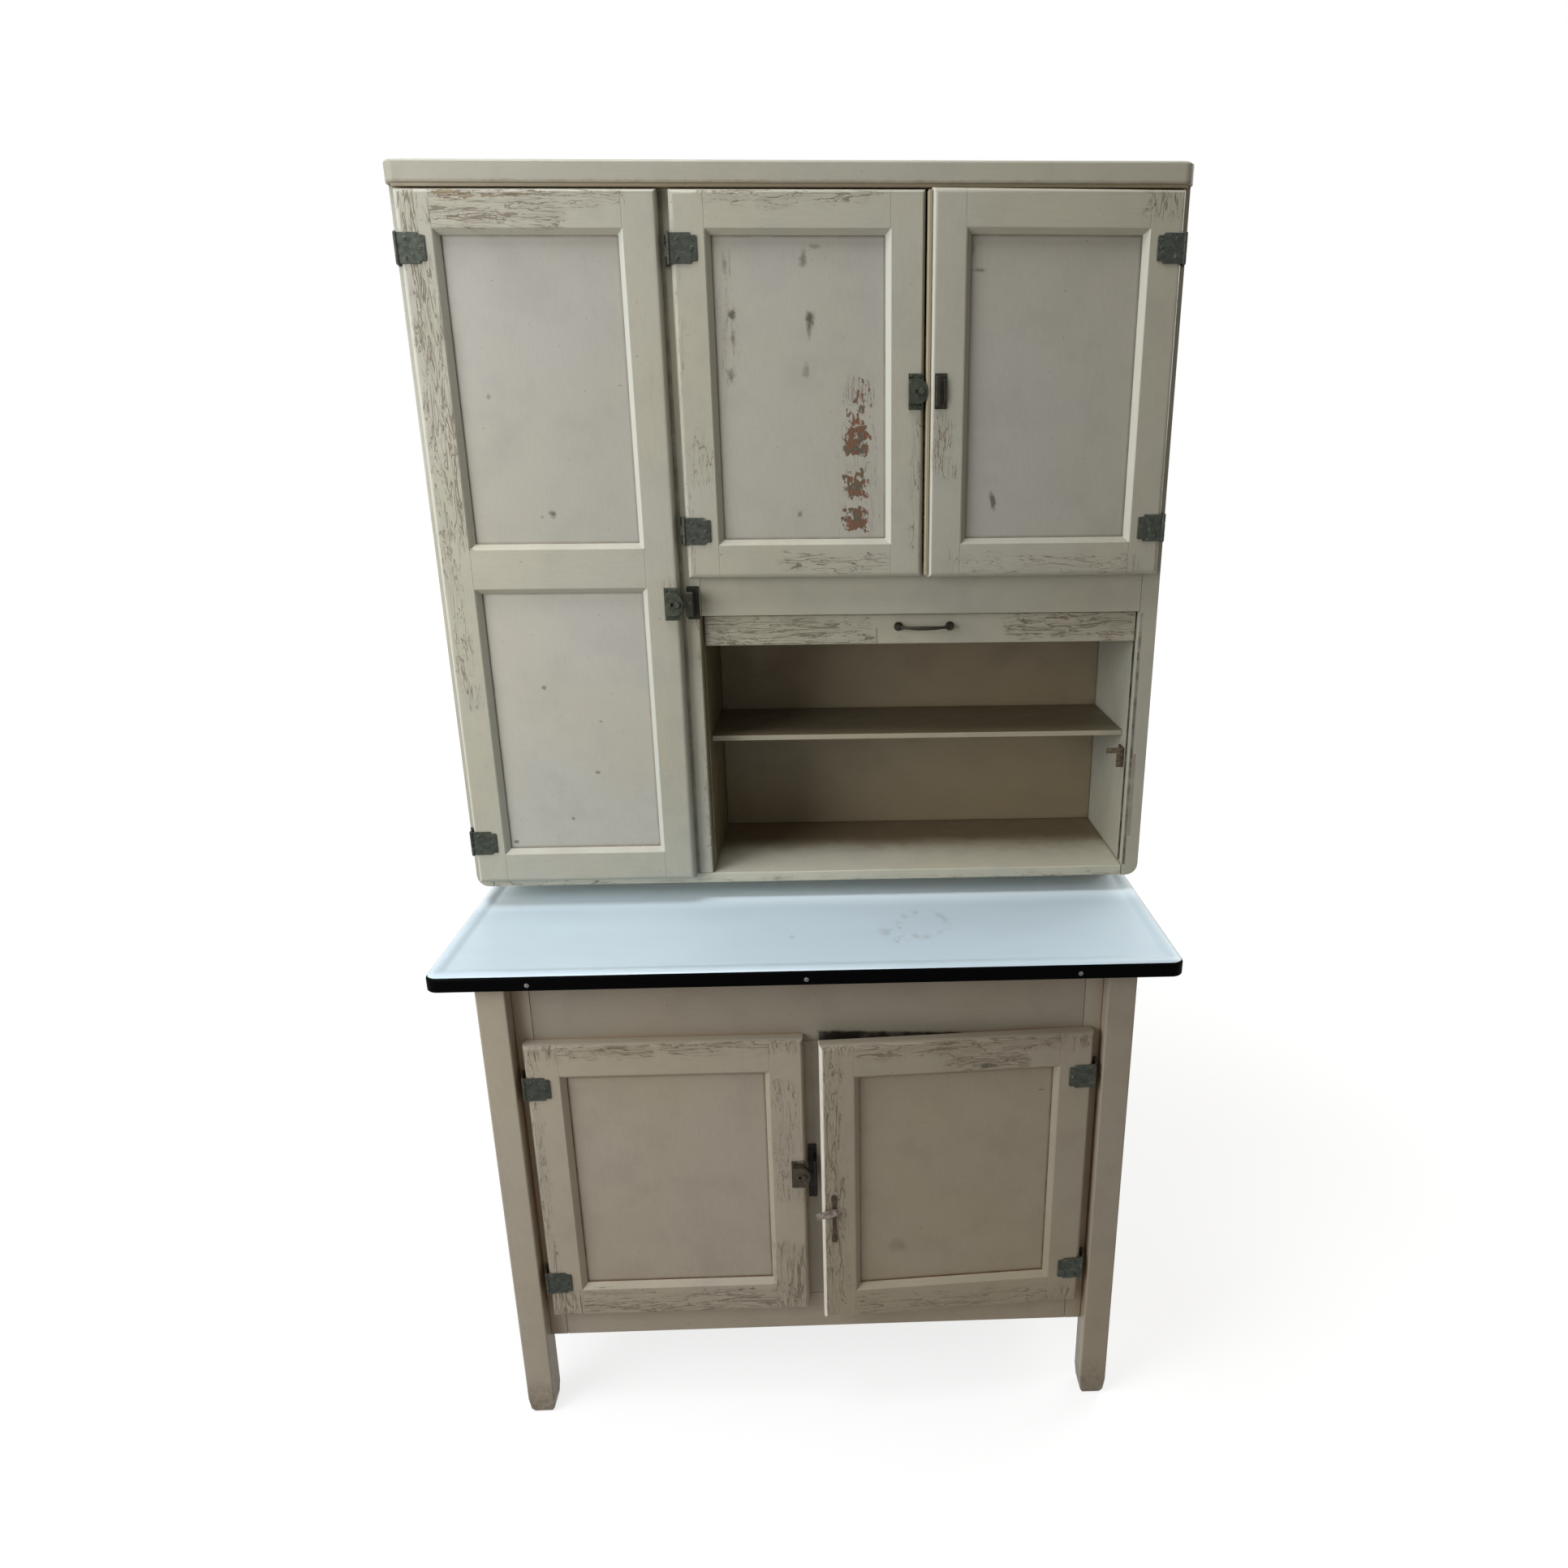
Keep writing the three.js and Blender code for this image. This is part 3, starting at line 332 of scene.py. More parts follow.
class Coat:
    """Old brushed paint over wood, with some painted light and shade. Each step lays its tones over
    the colour so far.
    """

    def __init__(self, name, tone, grain, opening):
        g = self.g = material_graph(name)
        p = self.place = g.place()
        self.x, self.y, self.z = g.parts(p)
        upright = g.scaled(p, (1, 1, 0.12))
        level = g.scaled(p, (0.12, 1, 1))
        self.joints = None
        if grain == "frame":
            middle, half = opening
            off = g.apart(self.x, middle)
            self.grain = g.pick(g.math("GREATER_THAN", off, half), level, upright)
            self.joints = g.fall(g.apart(off, half), 0.0, 0.0007)
        else:
            self.grain = upright if grain == "z" else level
        self.facing = g.facing()
        self.front = g.ramp(self.facing, 0.35, 0.75)
        self.cloud = g.noise(g.moved(p, (5, 3, 1)), 16.0, 4.0, 0.6)
        self.strokes = g.noise(self.grain, 420.0, 3.0, 0.6)
        self.ragged = g.noise(g.moved(p, (3, 1, 8)), 90.0, 4.0, 0.65)
        self.stray = g.mul(g.sub(self.ragged, 0.5), 0.034)
        self.tone = tone
        self.colour = linear(tone)

    def cover(self, share, tone):
        self.colour = self.g.blend(share, self.colour, linear(tone))

    def patches(self, places, soft, wander):
        """Patches of (reach, amount), with edges that wander."""
        g = self.g
        x, z = g.add(self.x, wander), g.sub(self.z, wander)
        return [g.mul(patch(g, x, z, reach, soft), amount) for reach, amount in places]

    def brush(self, top, rear):
        """Cloudy paint with brush strokes."""
        g, tone = self.g, self.tone
        broad = g.noise(self.place, 3.1, 3.0, 0.55)
        self.cover(g.ramp(broad, 0.35, 0.7), (tone[0], tone[1] * 0.985, tone[2] * 0.95))
        self.cover(g.mul(g.ramp(self.cloud, 0.42, 0.75), 0.45), times(tone, 0.91))
        if top is not None:
            self.cover(g.fall(self.facing, 0.3, 0.7), top)
        if rear is not None:
            # The rear tone is used as painted shade with grime, darker towards the back.
            near_y, far_y, rear_grime_and_shade = rear
            uneven = g.add(self.y, g.mul(g.sub(self.cloud, 0.5), 0.05))
            self.cover(g.ramp(uneven, near_y * MM, far_y * MM), rear_grime_and_shade)
        self.cover(g.mul(g.ramp(self.strokes, 0.35, 0.75), 0.20), times(tone, 0.88))

    def crack(self, age, crazed):
        """Long wavy cracks that follow the grain, with the paint lifting between them."""
        g = self.g
        wavy = g.noise(g.moved(self.grain, (1, 4, 6)), 100.0, 3.0, 0.6, 1.0)
        finer = g.noise(g.moved(self.grain, (9, 2, 3)), 210.0, 3.0, 0.6, 0.6)
        patchy = g.noise(g.moved(self.grain, (2, 7, 3)), 24.0, 4.0, 0.62)
        wander = g.mul(g.sub(g.noise(g.moved(self.place, (2, 6, 4)), 32.0, 4.0, 0.65), 0.5), 0.050)
        zones = [g.mul(g.ramp(patchy, 0.62, 0.82), age)] + self.patches(crazed, 0.013, wander)
        zone = g.mul(g.most(zones), self.front)
        broken = g.mul(zone, g.ramp(patchy, 0.32, 0.60, 0.2, 1.0))
        wide = g.fall(g.apart(wavy, 0.5), 0.0, g.mul(broken, 0.065))
        thin = g.fall(g.apart(finer, 0.48), 0.0, g.mul(broken, 0.035))
        self.cracks = g.mul(g.most([wide, g.mul(thin, 0.5)]), g.ramp(zone, 0.04, 0.4))
        self.cover(g.mul(broken, 0.16), TAN)
        self.cover(g.mul(self.cracks, 0.86), CRACK)

    def strip(self, bare, torn):
        """Bare wood in streaks, and torn places where a sticker took the paint with it."""
        g = self.g
        streaks = g.noise(g.moved(self.grain, (8, 1, 2)), 75.0, 5.0, 0.62, 0.8)
        bared = g.most(self.patches(bare, 0.007, self.stray) or [0.0])
        missing = g.mul(g.ramp(g.add(streaks, bared), 0.90, 0.96), self.front)
        wood = g.blend(g.ramp(self.strokes, 0.3, 0.7), linear(TAN), linear(BROWN))
        self.colour = g.blend(g.mul(missing, 0.9), self.colour, wood)
        fibres = g.noise(g.scaled(self.place, (1, 1, 0.45), (4, 4, 4)), 150.0, 5.0, 0.68)
        ripped = g.most(self.patches(torn, 0.005, self.stray) or [0.0])
        tear = g.mul(g.ramp(g.add(fibres, ripped), 0.92, 0.98), self.front)
        under = g.blend(g.ramp(self.ragged, 0.52, 0.60), linear(RED_BROWN), linear(OLIVE))
        under = g.blend(g.mul(g.fall(fibres, 0.45, 0.6), 0.3), under, linear(DARK))
        self.colour = g.blend(g.mul(tear, 0.94), self.colour, under)
        self.cover(g.mul(g.mul(missing, g.rest(missing)), 2.6), CRACK)
        self.lost = g.most([missing, tear])

    def mark(self, spots, dirt_and_shade_tone):
        """Small round marks, and grime in the joints of a frame."""
        g = self.g
        uneven = g.mul(g.sub(self.ragged, 0.5), 2.4)
        for place in spots:
            self.cover(g.mul(spot(g, self.x, self.z, place, uneven), self.front, clamp=True), SPOT)
        if self.joints is not None:
            self.cover(g.mul(self.joints, 0.35), dirt_and_shade_tone)

    def turn(self, left, right):
        """Painted highlight and painted shade: other tones on faces that look to the left or to the
        right, as the light falls from the left.
        """
        g = self.g
        side = g.normal()[0]
        tone, highlight_from, highlight_to = left or (self.tone, 0, 0)
        right_of = g.math("GREATER_THAN", self.x, highlight_from * MM)
        within = g.mul(right_of, g.math("LESS_THAN", self.x, highlight_to * MM))
        # Painted highlight on faces that look to the left, where x lies in the given range.
        self.cover(g.mul(g.fall(side, -0.5, -0.15), within), tone)
        # Painted shade on faces that look to the right.
        self.cover(g.ramp(side, 0.3, 0.6), right or self.tone)

    def dirt_and_painted_shade(self, crease_dirt_and_shade, dirt_and_shade_tone, rim, stains, low):
        """Grime and painted shade in corners and along a panel's edges; stains, some of them
        painted shadow; grime near the floor; and specks.
        """
        g = self.g
        mottle = g.noise(g.moved(self.place, (7, 2, 5)), 42.0, 4.0, 0.6)
        mottle = g.ramp(mottle, 0.2, 0.8, 0.5, 1.1)
        # Painted shade with grime: a mottled darker tone in corners and gaps, from the crease mask.
        self.cover(g.mul(g.mul(g.ramp(g.crease(0.016), 0.22, 0.9), mottle), crease_dirt_and_shade, clamp=True), dirt_and_shade_tone)
        if rim is not None:
            # Painted shade with grime: a darker band along the panel's edges, where it meets its
            # frame.
            x0, x1, z0, z1, amount = rim
            edge = 1.8
            inside = patch(g, self.x, self.z, (x0 + edge, x1 - edge, z0 + edge, z1 - edge), 0.0026)
            band = g.mul(g.rest(inside), g.mul(mottle, amount), clamp=True)
            self.cover(g.mul(band, self.front), RIM_GRIME_AND_SHADE)
        for reach, amount, shade, slope in stains:
            lifted = g.add(g.sub(self.z, g.mul(self.stray, 0.12)), g.mul(self.x, slope))
            place = patch(g, self.x, lifted, reach, 0.0016)
            soiled = g.mul(place, g.mul(mottle, amount), clamp=True)
            self.cover(g.mul(soiled, self.front), shade)
        if low is not None:
            near = g.mul(g.fall(self.z, 0.0, low), g.ramp(self.ragged, 0.35, 0.65, 0.35, 1.0))
            self.cover(g.mul(near, 0.75), GRIME_AND_SHADE)
        specks = g.ramp(g.noise(g.moved(self.place, (6, 6, 2)), 230.0, 1.0), 0.77, 0.81)
        self.cover(g.mul(specks, 0.45), DARK)

    def finish(self):
        g = self.g
        height = g.sub(g.mul(self.strokes, 0.22), g.mul(self.cracks, 0.9))
        height = g.sub(height, self.lost)
        if self.joints is not None:
            height = g.sub(height, g.mul(self.joints, 0.6))
        rough = g.most([g.ramp(self.cloud, 0.3, 0.7, 0.40, 0.54), g.mul(self.lost, 0.8)])
        return g.shine(self.colour, rough, g.bump(height, 0.0006, 0.7), specular=0.4)


def paint(name, tone, grain="z", opening=None, age=0.3, crazed=(), bare=(), torn=(), spots=(),
          stains=(), crease_dirt_and_shade=0.5, dirt_and_shade_tone=GRIME_AND_SHADE, low=None, top=None, rear=None, left=None, right=None,
          rim=None):
    """A coat of old paint. grain is the way the wood runs, or "frame" for a door's stiles and
    rails, which meet at the sides of its opening. Each of crazed, bare and torn is a patch of the
    front face, a rectangle of (x0, x1, z0, z1) in millimetres and an amount; a stain has a colour
    and a slope too; spots are small round marks. low is the height in metres below which the paint
    is grimy. top is the colour of faces that look up. left is a painted highlight on faces that
    look to the left, with the range of x where it holds, and right a painted shade on faces that
    look to the right. rear is a colour that the paint turns to between two depths, used as painted
    shade with grime. rim is a panel's visible rectangle and how dark its edges turn with grime and
    painted shade. crease_dirt_and_shade and dirt_and_shade_tone are the amount and colour of grime
    and painted shade in corners and gaps."""
    coat = Coat(name, tone, grain, opening)
    coat.brush(top, rear)
    coat.crack(age, crazed)
    coat.strip(bare, torn)
    coat.mark(spots, dirt_and_shade_tone)
    if left is not None or right is not None:
        coat.turn(left, right)
    coat.dirt_and_painted_shade(crease_dirt_and_shade, dirt_and_shade_tone, rim, stains, low)
    return coat.finish()


def timber(name, tone, grain="x", plank=None):
    """Bare softwood with grain; plank is the width of upright boards, where there are any."""
    g = material_graph(name)
    p = g.place()
    scale = {"x": (0.06, 1, 1), "z": (1, 1, 0.06)}[grain]
    vector = g.scaled(p, scale)
    rings = g.noise(vector, 42.0, 5.0, 0.6, 1.5)
    fibre = g.noise(vector, 520.0, 2.0, 0.6)
    deep = linear(times(tone, 0.72))
    colour = g.blend(g.ramp(rings, 0.35, 0.65), linear(tone), deep)
    colour = g.blend(g.mul(g.ramp(fibre, 0.3, 0.8), 0.35), colour, deep)
    height = g.add(g.mul(rings, 0.3), g.mul(fibre, 0.4))
    if plank:
        joint = g.fall(g.math("PINGPONG", g.parts(p)[0], plank / 2), 0.0, 0.0016)
        colour = g.blend(g.mul(joint, 0.8), colour, linear(DARK))
        height = g.sub(height, g.mul(joint, 2.0))
    stain = g.ramp(g.noise(p, 6.0, 4.0, 0.6), 0.4, 0.75)
    colour = g.blend(g.mul(stain, 0.35), colour, linear(GRIME_AND_SHADE))
    # Painted shade: darker in corners and gaps, from the crease mask.
    colour = g.blend(g.mul(g.ramp(g.crease(0.03), 0.1, 0.9), 0.5), colour, linear(DARK))
    rough = g.ramp(fibre, 0.2, 0.8, 0.55, 0.75)
    return g.shine(colour, rough, g.bump(height, 0.0007, 0.5), specular=0.3)


def white_enamel(name, marks):
    """White glassy enamel with grey rubbed marks, ragged rings of (x, y, radius, width), and
    painted light at the back, under the hutch.
    """
    g = material_graph(name)
    p = g.place()
    x, y, _ = g.parts(p)
    cloud = g.noise(g.scaled(p, (0.7, 1.6, 1)), 7.0, 3.0, 0.5)
    cloudy = g.mul(g.ramp(cloud, 0.4, 0.75), 0.6)
    colour = g.blend(cloudy, linear((184, 200, 209)), linear((177, 192, 201)))
    # Painted light: the enamel turns paler at the back, under the hutch, where its shade falls.
    painted_light_under_hutch = g.ramp(y, -0.075, -0.02)
    colour = g.blend(painted_light_under_hutch, colour, linear((216, 230, 238)))
    rubbed = g.noise(g.scaled(p, (1, 0.8, 1)), 75.0, 3.0, 0.6)
    dark = []
    for mark_x, mark_y, radius, width in marks:
        away = g.length(g.sub(x, mark_x), g.mul(g.sub(y, mark_y), 0.8))
        dark.append(g.mul(g.fall(g.apart(away, radius), 0.0, width), g.ramp(rubbed, 0.45, 0.62)))
    mark = g.mul(g.most(dark), 0.34)
    colour = g.blend(mark, colour, linear((128, 124, 120)))
    return g.shine(colour, g.ramp(cloud, 0.3, 0.8, 0.30, 0.36), specular=0.4)


def black_enamel(name):
    g = material_graph(name)
    p = g.place()
    chips = g.ramp(g.noise(p, 70.0, 4.0, 0.7), 0.72, 0.78)
    colour = g.blend(g.mul(chips, 0.4), linear((4, 4, 5)), linear((30, 25, 22)))
    rough = g.ramp(g.noise(p, 24.0, 3.0), 0.3, 0.7, 0.30, 0.5)
    return g.shine(colour, rough, g.bump(g.noise(p, 60.0, 2.0), 0.0006, 0.3), specular=0.015)


def old_metal(name, tone, bright, paint_left):
    """Tarnished metal, brighter on its edges, with some paint left on it."""
    g = material_graph(name)
    p = g.place()
    blotch = g.noise(p, 130.0, 5.0, 0.65)
    fine = g.noise(p, 700.0, 3.0, 0.6)
    colour = g.blend(g.ramp(blotch, 0.35, 0.7), linear(tone), linear(times(tone, 0.65)))
    rubbed = g.mul(g.ramp(g.edge(0.0009), 0.02, 0.3), g.ramp(fine, 0.35, 0.6))
    colour = g.blend(g.mul(rubbed, 0.7), colour, linear(bright))
    left = g.ramp(g.noise(g.moved(p, (1, 2, 3)), 110.0, 5.0, 0.7), 0.60, 0.68)
    left = g.mul(left, paint_left)
    colour = g.blend(left, colour, linear((126, 130, 114)))
    rust = g.ramp(g.noise(g.moved(p, (4, 4, 1)), 210.0, 4.0, 0.7), 0.60, 0.74)
    colour = g.blend(g.mul(rust, 0.4), colour, linear((66, 48, 34)))
    colour = g.blend(g.mul(g.crease(0.004), 0.7), colour, linear((16, 16, 13)))
    metal = g.mul(g.rest(left), 0.4)
    height = g.bump(g.add(g.mul(blotch, 0.5), g.mul(fine, 0.3)), 0.0004, 0.5)
    return g.shine(colour, g.ramp(blotch, 0.3, 0.7, 0.42, 0.62), height, metal, specular=0.35)


# ---- the CAD nodes that show, with their finish ----


def soften(obj, bevel, segments):
    """Rounds an object's edges by bevel millimetres."""
    weld = obj.modifiers.new("weld", "WELD")
    weld.merge_threshold = 0.02 * MM
    flat = obj.modifiers.new("flat", "DECIMATE")
    flat.decimate_type = "DISSOLVE"
    flat.angle_limit = math.radians(0.5)
    soft = obj.modifiers.new("soft", "BEVEL")
    soft.width = bevel * MM
    soft.segments = segments
    soft.limit_method = "ANGLE"
    soft.angle_limit = math.radians(40)
    even = obj.modifiers.new("even", "WEIGHTED_NORMAL")
    even.keep_sharp = False


def dress(names, material, bevel, segments=2):
    for name in names.split():
        node = NODES[name]
        node.data.materials.clear()
        node.data.materials.append(material)
        soften(node, bevel, segments)


PANEL_LAP = 7.7  # how far a panel runs behind its frame
HUTCH_STILE = 44
BASE_STILE = 48


def opening(name, stile):
    """The middle of a door in x, and half the width between its stiles."""
    low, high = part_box(name)
    return (low.x + high.x) / 2, (high.x - low.x) / 2 - stile * MM


def dress_base():
    upright = paint("paint_base_upright", BASE_CREAM, "z", age=0.25, **BASE_DIRT_AND_SHADE)
    legs = paint("paint_legs", BASE_CREAM, "z", age=0.3, low=0.09, **BASE_DIRT_AND_SHADE)
    # Painted shade: the right legs are a darker cream, as the light falls off to the right.
    shaded = times(BASE_CREAM, 0.93)
    right_legs = paint("paint_right_legs", shaded, "z", age=0.3, low=0.09, **BASE_DIRT_AND_SHADE)
    dress("leg_front_left leg_rear_left", legs, 1.2)
    dress("leg_front_right leg_rear_right", right_legs, 1.2)
    dress("base_side_left base_side_right base_centre_stile base_back", upright, 0.8)
    dress("base_bottom_rail", paint("paint_base_level", BASE_CREAM, "x", age=0.2, **BASE_DIRT_AND_SHADE), 1.0)
    # Painted shadow: a dark patch on the apron in the shaded gap over the right door, which stands
    # ajar, with a softer brown band round it.
    gap = [
        ((8, 240, 626, 653), 0.35, PAINTED_GAP_SHADOW_EDGE, 0.038), ((11, 212, 626, 650), 1.2, PAINTED_GAP_SHADOW, 0.036),
    ]
    apron = paint("paint_apron", times(BASE_CREAM, 0.9), "x", age=0.2, stains=gap, **BASE_DIRT_AND_SHADE)
    dress("apron_rail", apron, 1.0)
    dress("base_floor base_shelf worktop_board", timber("wood_shelf", (150, 124, 94)), 0.8)


def dress_hutch():
    dress("hutch_side_left", paint("paint_upright", CREAM, "z", age=0.35), 1.2)
    dress("hutch_side_right", paint(
        "paint_right_side", CREAM, "z", age=0.4,
        torn=[
            ((476, 484, 830, 960), 0.34), ((476, 484, 985, 1200), 0.36),
            ((486, 490, 1000, 1200), 0.28),
        ],
        stains=[((479, 485, 812, 1201), 1.0, DARK, 0), ((485, 490, 860, 990), 0.6, BROWN, 0)],
    ), 1.2)
    # Painted light and shade on the stile: its lighter cream lights the shaded channel by the tall
    # door, its face that looks right into the niche takes a painted shade, and the brown strip by
    # the tall door's edge is a painted shadow.
    dress("hutch_partition", paint(
        "paint_stile", times(CREAM, 1.08), "z", age=0.3, crease_dirt_and_shade=0.2, right=(104, 92, 66),
        crazed=[((-150, -143, 820, 1200), 0.8)],
        bare=[((-150, -142, 900, 1180), 0.34)],
        stains=[((-174, -167, 800, 1742), 0.7, PAINTED_CHANNEL_SHADOW, 0)],
    ), 1.2)
    # Painted shade with grime: a brown band along the crown's lower edge and underside.
    edge = [((-510, 510, 1738, 1745), 0.6, BROWN, 0)]
    dress("hutch_crown", paint("paint_crown", times(CREAM, 0.96), "x", age=0.35, stains=edge), 1.0)
    dress("header_rail", paint("paint_level", CREAM, "x", age=0.25), 0.8)
    # Painted light and shade: the floor is a lighter cream, as painted light at its front, and
    # turns brown towards the back, as painted shade with grime.
    dress("hutch_floor", paint(
        "paint_bottom", times(CREAM, 1.12), "x", age=0.3, crease_dirt_and_shade=0.6, rear=(25, 120, (118, 102, 76)),
        crazed=[((-500, 500, 794, 800), 0.6)],
    ), 1.5)
    inner = paint("paint_inner", NICHE, "x", age=0.15, crease_dirt_and_shade=0.8)
    dress("cupboard_floor niche_back cupboard_shelf tall_shelf", inner, 0.8)
    shelf = paint("paint_shelf", (158, 150, 132), "x", age=0.2, crease_dirt_and_shade=0.3, top=SHELF_TOP)
    dress("niche_shelf", shelf, 0.8)
    # Painted light: the hidden plinth is a pale cream, so that the shade under the hutch reads
    # lighter.
    dress("hutch_plinth", paint("paint_plinth", (205, 200, 186), "x", age=0.1, crease_dirt_and_shade=0.0), 0.8)
    dress("hutch_back", timber("wood_back", (140, 115, 86), "z", plank=0.1), 0.5)


def dress_frame(door, tone, stile, age, **wear):
    node = f"{door}_frame"
    dress(node, paint(f"paint_{node}", tone, "frame", opening(node, stile), age, **wear), 0.8)


def dress_panel(name, tone, edges, age=0.05, **wear):
    """A door's panel, with grime and painted shade along its edges."""
    low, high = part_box(name)
    lap = PANEL_LAP * MM
    rim = (*times((low.x + lap, high.x - lap, low.z + lap, high.z - lap), 1 / MM), edges)
    dress(name, paint(f"paint_{name}", tone, "z", age=age, rim=rim, **wear), 0.3)


def dress_tall_door():
    # Painted highlight: faces of the frame that look to the left take a lighter cream.
    dress_frame(
        "tall_door", CREAM, HUTCH_STILE, 0.3, left=(LIT_CREAM, -600, 600),
        crazed=[
            ((-482, -452, 1290, 1655), 1.0), ((-486, -466, 1080, 1300), 0.6),
            ((-494, -468, 1676, 1736), 1.0), ((-452, -290, 1694, 1736), 1.0),
            ((-300, -210, 1716, 1738), 0.6), ((-200, -176, 1240, 1260), 0.4),
        ],
        bare=[
            ((-452, -300, 1722, 1736), 0.42), ((-440, -330, 1700, 1718), 0.34),
            ((-385, -340, 1692, 1708), 0.38), ((-492, -486, 1684, 1733), 0.46),
            ((-477, -472, 1690, 1730), 0.42), ((-478, -460, 1420, 1640), 0.24),
        ],
    )
    spots = [
        (-337, 1344, 6, 5, 0.8), (-352, 1340, 3, 2, 0.6), (-373, 1104, 4, 4, 0.7),
        (-210, 1526, 4, 6, 0.6), (-307, 977, 4, 3, 0.7), (-407, 1493, 3, 4, 0.5),
        (-436, 871, 4, 3, 0.7), (-349, 906, 3, 3, 0.6), (-297, 1054, 3, 3, 0.5),
        (-310, 1290, 2, 2, 0.6),
    ]
    dress_panel("tall_door_upper_panel", times(PANEL, 0.98), 0.6, spots=spots)
    dress_panel("tall_door_lower_panel", times(PANEL, 1.04), 0.6, spots=spots)


def dress_middle_door():
    # Painted highlight: the frame's faces that look to the left, between x 0 and 150 mm, take a
    # lighter cream.
    dress_frame(
        "middle_door", CREAM, HUTCH_STILE, 0.25, left=(LIT_CREAM, 0, 150),
        crazed=[
            ((-30, 120, 1266, 1286), 0.8), ((-118, 112, 1722, 1737), 1.0),
            ((-142, -122, 1376, 1444), 0.9), ((-156, -150, 1260, 1700), 0.5),
            ((150, 164, 1280, 1470), 0.5),
        ],
        bare=[
            ((-112, -106, 1724, 1737), 0.44), ((-30, 110, 1730, 1737), 0.38),
            ((34, 70, 1270, 1281), 0.38), ((-137, -124, 1398, 1424), 0.34),
        ],
    )
    torn = [
        ((70, 98, 1478, 1516), 0.42), ((60, 94, 1456, 1484), 0.42), ((59, 94, 1414, 1458), 0.54),
        ((57, 91, 1360, 1398), 0.51), ((56, 89, 1316, 1352), 0.54),
    ]
    spots = [
        (-85, 1593, 6, 8, 0.85), (-84, 1563, 4, 11, 0.6), (-88, 1519, 6, 9, 0.5),
        (-92, 1650, 4, 12, 0.45), (16, 1587, 7, 10, 0.9), (15, 1570, 3, 9, 0.5),
        (9, 1660, 6, 12, 0.6), (10, 1524, 5, 10, 0.4), (-3, 1342, 5, 4, 0.6),
        (24, 1672, 9, 3, 0.4),
    ]
    worn = [
        ((60, 100, 1480, 1515), 0.5), ((46, 108, 1310, 1470), 0.25),
        ((-100, -76, 1500, 1670), 0.3),
    ]
    dress_panel("middle_door_panel", PANEL, 0.7, 0.08, crazed=worn, torn=torn, spots=spots)


def dress_right_door():
    # Painted highlight: faces that look to the left, from x 100 mm on, take a lighter cream.
    dress_frame(
        "right_door", CREAM, HUTCH_STILE, 0.25,
        left=((176, 174, 161), 100, 600),
        crazed=[
            ((178, 200, 1396, 1464), 0.9), ((440, 494, 1700, 1736), 0.5),
            ((200, 470, 1258, 1290), 0.35),
        ],
        bare=[((182, 194, 1410, 1452), 0.32)],
    )
    spots = [
        (234, 1643, 12, 3, 0.6), (261, 1354, 4, 11, 0.8), (226, 1668, 3, 9, 0.4),
        (258, 1366, 3, 6, 0.5),
    ]
    dress_panel("right_door_panel", times(PANEL, 0.98), 0.7, spots=spots)


def dress_base_doors():
    dress_frame(
        "base_left_door", BASE_CREAM, BASE_STILE, 0.5,
        crazed=[
            ((-395, -15, 630, 648), 1.0), ((-395, -20, 186, 224), 0.8),
            ((-52, -12, 380, 580), 0.7), ((-60, -12, 190, 300), 0.7),
            ((-396, -384, 190, 640), 0.6),
        ],
        bare=[
            ((-300, -130, 204, 214), 0.38), ((-345, -60, 640, 648), 0.34),
            ((-30, -12, 420, 445), 0.36),
        ],
        **BASE_DIRT_AND_SHADE,
    )
    # Painted shade: the right door is a darker cream than the left, as the light falls off to the
    # right. Painted highlight: its faces that look to the left, up to x 40 mm, take a light cream.
    dress_frame(
        "base_right_door", (152, 144, 127), BASE_STILE, 0.5,
        crazed=[
            ((14, 395, 630, 648), 1.0), ((190, 300, 590, 626), 0.9), ((12, 46, 190, 640), 0.6),
            ((60, 390, 186, 215), 0.6),
        ],
        bare=[((60, 350, 641, 648), 0.32), ((14, 30, 330, 400), 0.34)],
        spots=[(246, 605, 20, 5, 0.8)],
        left=((215, 210, 198), 0, 40),
        **BASE_DIRT_AND_SHADE,
    )
    marks = [(326, 554, 8, 2, 0.6), (120, 300, 16, 12, 0.25)]
    dress_panel("base_left_door_panel", BASE_PANEL, 1.1, 0.12, **BASE_DIRT_AND_SHADE)
    # Painted shade: a darker cream than the left panel, as the light falls off to the right.
    dress_panel("base_right_door_panel", (150, 141, 123), 1.1, 0.12, spots=marks, **BASE_DIRT_AND_SHADE)


def dress_curtain():
    lift_rail = paint(
        "paint_lift_rail", (164, 161, 146), "x", age=0.3,
        crazed=[((-146, 96, 1154, 1194), 0.75), ((290, 482, 1166, 1200), 0.75)],
        bare=[
            ((-140, 90, 1164, 1188), 0.26), ((80, 104, 1158, 1180), 0.40),
            ((300, 440, 1176, 1198), 0.34), ((390, 478, 1164, 1180), 0.28),
        ],
        stains=[((102, 104, 1156, 1180), 0.7, BROWN, 0)],
    )
    dress("curtain_lift_rail", lift_rail, 0.6)
    dress("curtain_slats", paint("paint_slats", CREAM, "x", age=0.2), 0.4)


def dress_metal():
    for latch in LATCHES:
        dress(f"{latch}_case {latch}_bolt", LATCHES[latch][1], 0.6)
    dress("curtain_catch", CATCH_METAL, 0.4)
    dress("base_lever", WORN_METAL, 1.0, 3)


# ---- new pieces ----


